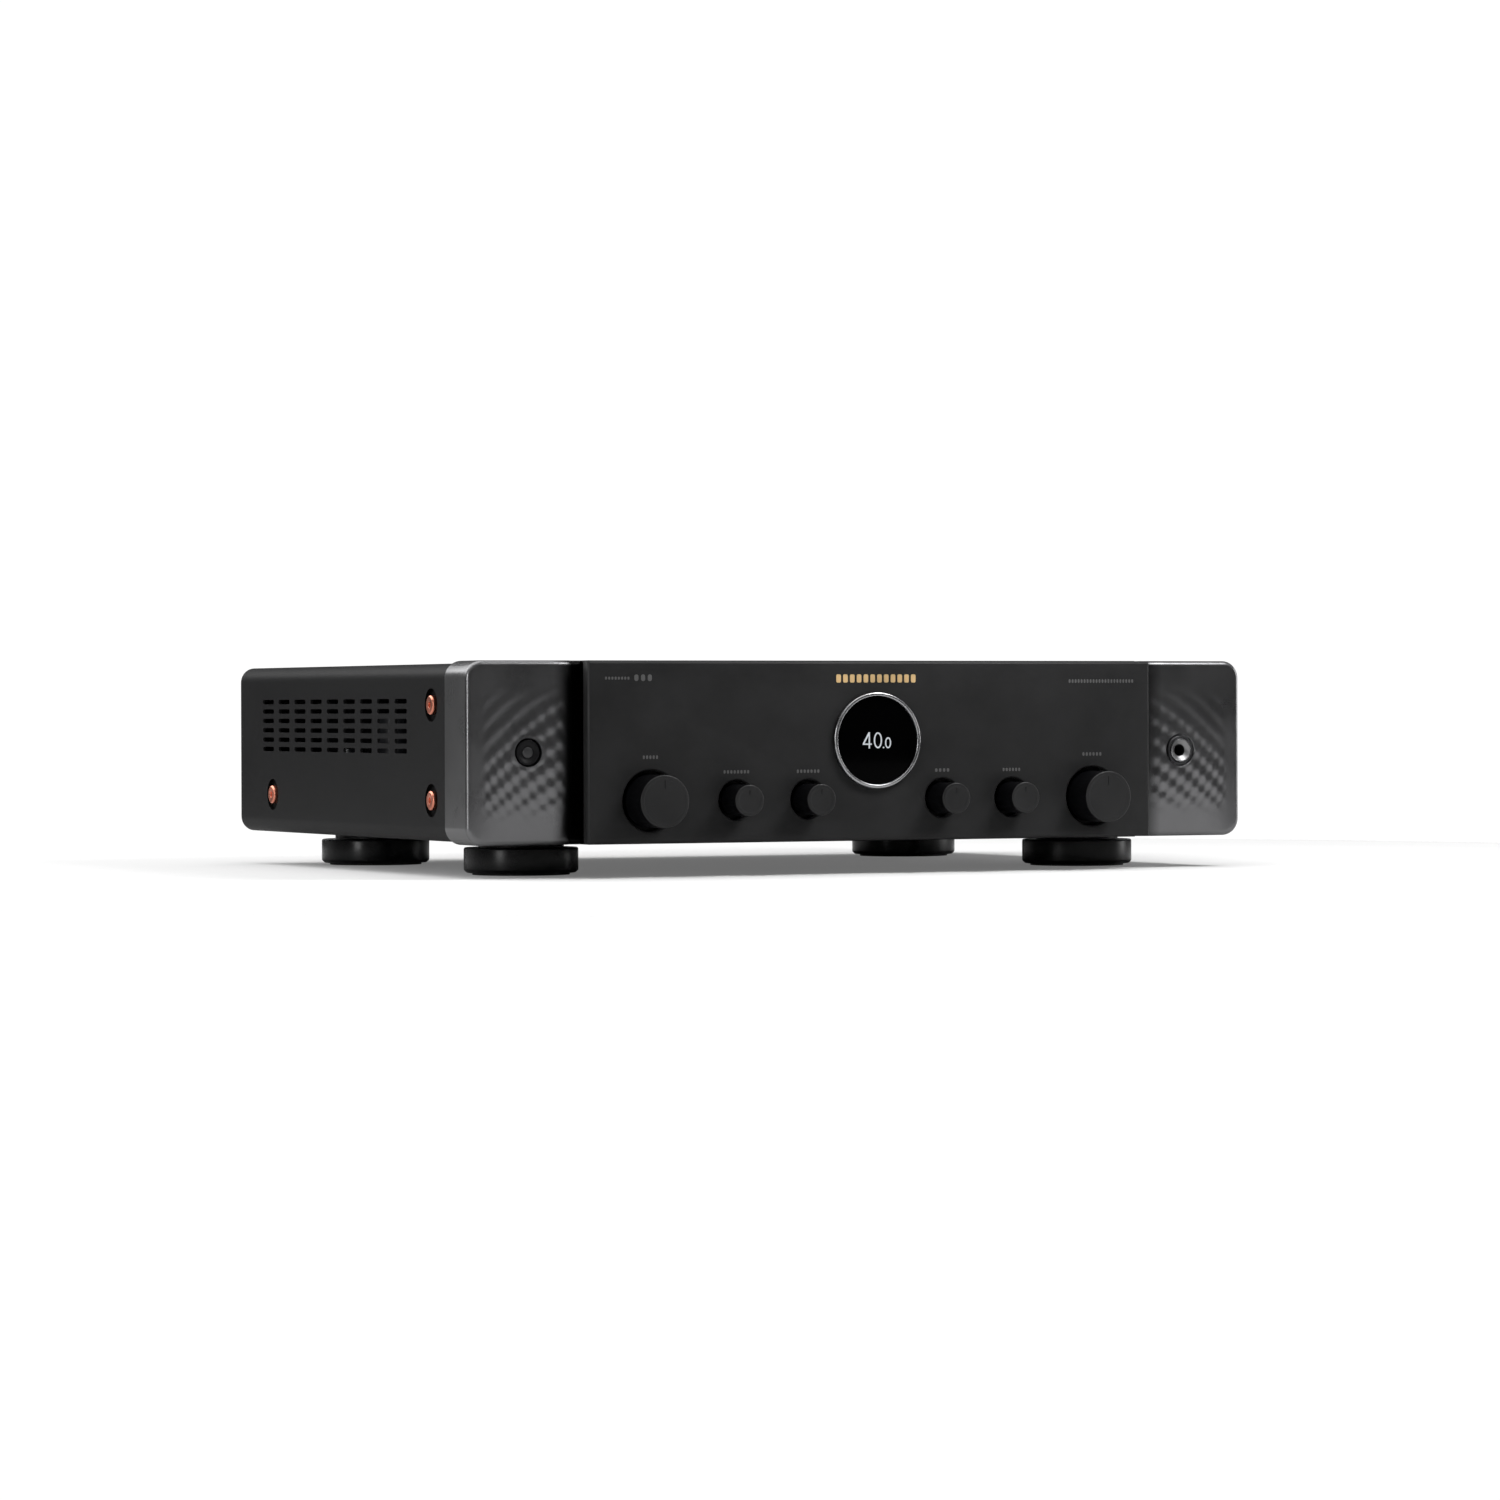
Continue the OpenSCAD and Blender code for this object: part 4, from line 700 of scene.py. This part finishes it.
def build_printing():
    """Plain printed marks in the places where the panel carries its printing."""
    y = PANEL_Y - 0.04
    over_controls = ((-126, 60.4, 9, 1.9, 5), (126, 60.4, 12, 1.9, 6), (-78.5, 52.7, 15, 1.8, 8),
                     (-38.3, 52.7, 13.5, 1.8, 7), (38.3, 52.7, 9, 1.8, 4),
                     (78.5, 52.7, 11, 1.8, 6))
    in_corners = ((-144, 100, 14, 1.5, 8), (-129.5, 100.2, 11, 3.4, 3), (131.5, 98.4, 39, 2.0, 22))
    for name, rows in (("control_marks", over_controls), ("corner_marks", in_corners)):
        make(name, join(*(dashes(*row, y) for row in rows)), "panel_aluminium",
             material=PRINT_GREY)
    bars, blocks, row_w, half_w, low_z, high_z = [], 12, 42.6, 1.3, 97.7, 101.9
    for i in range(blocks):
        x = row_w * (i / (blocks - 1) - 0.5)
        bar = [(x - half_w, low_z), (x + half_w, low_z), (x + half_w, high_z),
               (x - half_w, high_z)]
        bars.append(plate([round_corners(bar, 0.8, 4)], PANEL_Y - 0.2, PANEL_Y + 0.1))
    make("plain_emblem", join(*bars), "gold_contact", material=PRINT_GOLD)


# ---------------------------------------------------------------- everything else

NODE_SLOT = {
    "front_bezel": "bezel_plastic", "front_panel": "panel_aluminium",
    "display_ring": "chrome_ring", "display_window": "display_glass",
    "chassis_tray": "zinc_sheet", "top_cover": "cover_paint", "rear_panel": "rear_paint",
    "rear_screws": "black_screw", "display_module": "display_parts",
    "rotary_switches": "control_body", "potentiometers": "control_body",
    # The shaft nuts take the black finish as painted shade, so the gaps round the knobs read dark.
    "shaft_nuts": "black_screw", "control_board": "circuit_board", "power_switch": "black_plastic",
    "power_button": "black_plastic", "headphone_jack": "black_plastic",
    "headphone_nut": "nickel", "foot_screws": "nickel", "foot_pads": "pad_rubber",
    "feet": "foot_plastic", "cover_screws": "copper_screw",
    "transformer_core": "core_iron", "transformer_coil": "coil_copper",
    "power_board": "circuit_board", "filter_capacitors": "capacitor_sleeve",
    "amplifier_board": "circuit_board", "heat_sink": "heat_sink_aluminium",
    "output_transistors": "black_plastic", "digital_board": "circuit_board",
    "hdmi_sockets": "socket_shell", "network_socket": "socket_shell",
    "analog_board": "circuit_board", "rca_jacks": "gold_contact",
    "terminal_block": "black_plastic", "terminal_studs": "gold_contact",
    "ac_inlet": "black_plastic", "tuner_module": "socket_shell",
    "antenna_mounts": "antenna_plastic", "antenna_left": "antenna_plastic",
    "antenna_right": "antenna_plastic",
}


def build_cover():
    """The bent cover with its slots' edges rounded, and painted shade: its stamped recesses nearly
    black.
    """
    cover = softened("top_cover", "cover_paint", width=0.2, steps=1)

    def recess(centre):
        if not RECESS_X[0] < abs(centre.x) < RECESS_X[1]:
            return 0
        return 1 if min(math.hypot(centre.y - y, centre.z - z)
                        for y, z in COVER_SCREWS) < RECESS_R else 0

    # Painted shade in the recesses round the cover screws.
    paint_faces(cover, [RECESS_PAINTED_SHADE], recess)


def build_hardware():
    """Rounded copies of the fixed parts whose edges catch the light, and of the antennas."""
    softened("feet", "foot_plastic", width=0.9, steps=3)
    softened("cover_screws", "copper_screw", width=0.25)
    softened("rear_screws", "black_screw", width=0.15)
    softened("terminal_block", "black_plastic", width=0.6)
    softened("tuner_module", "socket_shell", width=0.25)
    softened("ac_inlet", "black_plastic", width=0.4)
    softened("hdmi_sockets", "socket_shell", width=0.12, steps=1)
    softened("network_socket", "socket_shell", width=0.3)
    softened("terminal_studs", "gold_contact", width=0.2)
    softened("antenna_mounts", "antenna_plastic", width=0.5)
    for side in ("antenna_left", "antenna_right"):
        softened(side, "antenna_plastic", side, width=0.9, steps=3)


def build_phono_jacks():
    """Gilt jacks, each with its coloured plastic ring: red in the lower row, white above."""
    contact_r = 4.3
    between_rows = (PHONO_LOW_Z + PHONO_HIGH_Z) / 2

    def ring(centre):
        column_x = PHONO_X + PHONO_PITCH * round((centre.x - PHONO_X) / PHONO_PITCH)
        row_z = PHONO_LOW_Z if centre.z < between_rows else PHONO_HIGH_Z
        if math.hypot(centre.x - column_x, centre.z - row_z) <= contact_r:
            return 0
        return 1 if row_z == PHONO_LOW_Z else 2

    paint_faces(softened("rca_jacks", "gold_contact", width=0.25), [RING_RED, RING_WHITE], ring)


def build_posts():
    """The binding posts' knurled caps."""
    outline = [(3.05, 173.6), (7.4, 173.6), (7.4, 192.0), (2.0, 192.0), (2.0, 184.0),
               (3.05, 184.0)]
    profile = round_corners(outline, [0.2, 0.6, 0.9, 0.5, 0, 0], 5)

    def ribs(angle, radius):
        return -0.28 * abs(math.cos(12 * angle)) if radius > 6.8 else 0

    for i in range(4):
        name = "post_cap_%d" % (i + 1)
        cap = lathe(profile, "y", (POST_X + POST_PITCH * i, POST_Z), 144, closed=True, wave=ribs)
        make(name + "_knurled", cap, "post_red" if i % 2 == 0 else "post_black", name, [name])


def bar_shape(x, z, width, height, corner, front_y, back_y):
    """A bar that runs from front to back, with its middle at x and z."""
    outline = [(x - width / 2, z - height / 2), (x + width / 2, z - height / 2),
               (x + width / 2, z + height / 2), (x - width / 2, z + height / 2)]
    return plate([round_corners(outline, corner, 3)], front_y, back_y)


def build_contacts():
    """The plastic tongues inside the picture sockets and the springs of the network one."""
    low, high = (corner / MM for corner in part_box("hdmi_sockets"))
    tongues = [bar_shape(HDMI_X + HDMI_PITCH * i, (low.z + high.z) / 2, 11.2, 1.1, 0.3,
                         160.0, 168.6) for i in range(6)]
    make("socket_tongues", join(*tongues), "black_plastic")
    low, high = (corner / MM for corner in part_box("network_socket"))
    spring_pitch, spring_h = 1.05, 1.6
    spring_z = high.z - 2.4 - spring_h / 2
    springs = [bar_shape((low.x + high.x) / 2 + (i - 3.5) * spring_pitch, spring_z, 0.5,
                         spring_h, 0.12, 157.0, 168.0) for i in range(8)]
    make("network_springs", join(*springs), "gold_contact")


def slot_of(node):
    """The material slot of a CAD node, by its name."""
    if node.startswith("post_cap"):
        return "post_red" if node[-1] in "13" else "post_black"
    if node.startswith("post_collar"):
        return "gold_contact"
    if node.endswith("_shaft"):
        return "nickel"
    if node.endswith("_knob"):
        return "knob_metal"
    return NODE_SLOT[node]


def dress_cad_nodes():
    """Gives every CAD node its procedural finish."""
    for name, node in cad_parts.items():
        node.data.materials.clear()
        node.data.materials.append(FINISH[slot_of(name)])


# ---------------------------------------------------------------- camera, floor and light

def add_camera():
    """A long lens, level with the object and 25 degrees to the left of its front."""
    yaw, pitch, roll = 0.43851133, 0.00788768, -0.00308389
    forward = Vector((math.sin(yaw) * math.cos(pitch), math.cos(yaw) * math.cos(pitch),
                      -math.sin(pitch)))
    right = Vector((math.cos(yaw), -math.sin(yaw), 0))
    up = right.cross(forward)
    level_right = right * math.cos(roll) + up * math.sin(roll)
    level_up = up * math.cos(roll) - right * math.sin(roll)
    data = bpy.data.cameras.new("camera")
    data.sensor_width = 36
    data.lens = 125.49792
    data.clip_start = 0.05
    data.clip_end = 50
    camera = bpy.data.objects.new("camera", data)
    turn = Matrix((level_right, level_up, -forward)).transposed().to_4x4()
    camera.matrix_world = Matrix.Translation((-1.193215, -2.567190, 0.084510)) @ turn
    scene.collection.objects.link(camera)
    scene.camera = camera


def add_floor():
    """A round pale floor that glows a little, so that it runs into the white background."""
    radius, rings, segments = 650, 6, 96
    profile = [(radius * k / rings, 0.0) for k in range(rings + 1)]
    verts, faces = lathe(profile, "z", (0, -60), segments)
    mesh = bpy.data.meshes.new("floor")
    mesh.from_pydata([Vector(v) * MM for v in verts], [], faces)
    floor = bpy.data.objects.new("floor", mesh)
    scene.collection.objects.link(floor)
    material = finish_of("floor_paper", (0.64, 0.64, 0.64), 0.9, grain=2.0, depth=0.002,
                         mottle=0.005, uneven=0.02, specular=0.1, light=0.22)
    tree = material.node_tree
    bounce = new_node(tree, "ShaderNodeBsdfDiffuse", Color=(0.55, 0.55, 0.55, 1))
    path = new_node(tree, "ShaderNodeLightPath")
    mix = new_node(tree, "ShaderNodeMixShader")
    tree.links.new(path.outputs["Is Camera Ray"], mix.inputs[0])
    tree.links.new(bounce.outputs[0], mix.inputs[1])
    tree.links.new(tree.nodes["Principled BSDF"].outputs[0], mix.inputs[2])
    tree.links.new(mix.outputs[0], tree.nodes["Material Output"].inputs["Surface"])
    mesh.materials.append(material)


def add_world():
    """White behind the object, and a studio that is dim at eye level and bright overhead."""
    world = bpy.data.worlds.new("studio")
    scene.world = world
    world.use_nodes = True
    tree = world.node_tree
    tree.nodes.clear()
    out = new_node(tree, "ShaderNodeOutputWorld")
    coordinates = new_node(tree, "ShaderNodeTexCoord")
    split = new_node(tree, "ShaderNodeSeparateXYZ")
    ramp = new_node(tree, "ShaderNodeValToRGB")
    stops = [(0.0, 0.06), (0.15, 0.06), (0.4, 0.16), (0.7, 0.4), (1.0, 0.7)]
    while len(ramp.color_ramp.elements) < len(stops):
        ramp.color_ramp.elements.new(0.5)
    for element, (place, level) in zip(ramp.color_ramp.elements, stops):
        element.position = place
        element.color = (level, level, level, 1)
    lit = new_node(tree, "ShaderNodeBackground", Strength=1.0)
    white = new_node(tree, "ShaderNodeBackground", Strength=1.05)
    white.inputs["Color"].default_value = (1, 1, 1, 1)
    path = new_node(tree, "ShaderNodeLightPath")
    mix = new_node(tree, "ShaderNodeMixShader")
    tree.links.new(coordinates.outputs["Generated"], split.inputs[0])
    tree.links.new(split.outputs["Z"], ramp.inputs["Fac"])
    tree.links.new(ramp.outputs["Color"], lit.inputs["Color"])
    tree.links.new(path.outputs["Is Camera Ray"], mix.inputs[0])
    tree.links.new(lit.outputs[0], mix.inputs[1])
    tree.links.new(white.outputs[0], mix.inputs[2])
    tree.links.new(mix.outputs[0], out.inputs["Surface"])


def add_softbox(name, place, target, size, power):
    """A soft rectangular light that points at a target; places in metres."""
    data = bpy.data.lights.new(name, "AREA")
    data.shape = "RECTANGLE"
    data.size, data.size_y = size
    data.energy = power
    light = bpy.data.objects.new(name, data)
    aim = Vector(target) - Vector(place)
    light.visible_camera = False
    turn = aim.to_track_quat("-Z", "Y").to_matrix().to_4x4()
    light.matrix_world = Matrix.Translation(place) @ turn
    scene.collection.objects.link(light)


def build_stage():
    """The camera, the floor, the studio round it and its six lights."""
    add_camera()
    add_floor()
    add_world()
    add_softbox("top_box", (-0.4, 0.25, 1.9), (0, 0, 0), (2.2, 2.0), 26)
    add_softbox("back_box", (-1.3, 1.4, 1.3), (0, 0, 0), (2.2, 1.3), 28)
    add_softbox("front_box", (0.34, -0.48, 0.62), (0.0, -0.17, 0.08), (0.3, 0.3), 4.4)
    add_softbox("back_left_box", (-1.35, 1.5, 0.3), (-0.22, 0.0, 0.06), (1.1, 0.8), 0.6)
    add_softbox("left_strip", (-1.8, -0.85, 0.4), (0, 0, 0.05), (0.4, 0.8), 8)
    add_softbox("right_strip", (2.0, -0.32, 0.4), (0, 0, 0.05), (0.4, 0.8), 8)


build_stage()
dress_cad_nodes()
build_bezel()
build_panel()
build_knobs()
build_button()
build_headphone_socket()
build_display()
build_printing()
build_cover()
build_hardware()
build_phono_jacks()
build_posts()
build_contacts()
scene.view_settings.view_transform = "Standard"
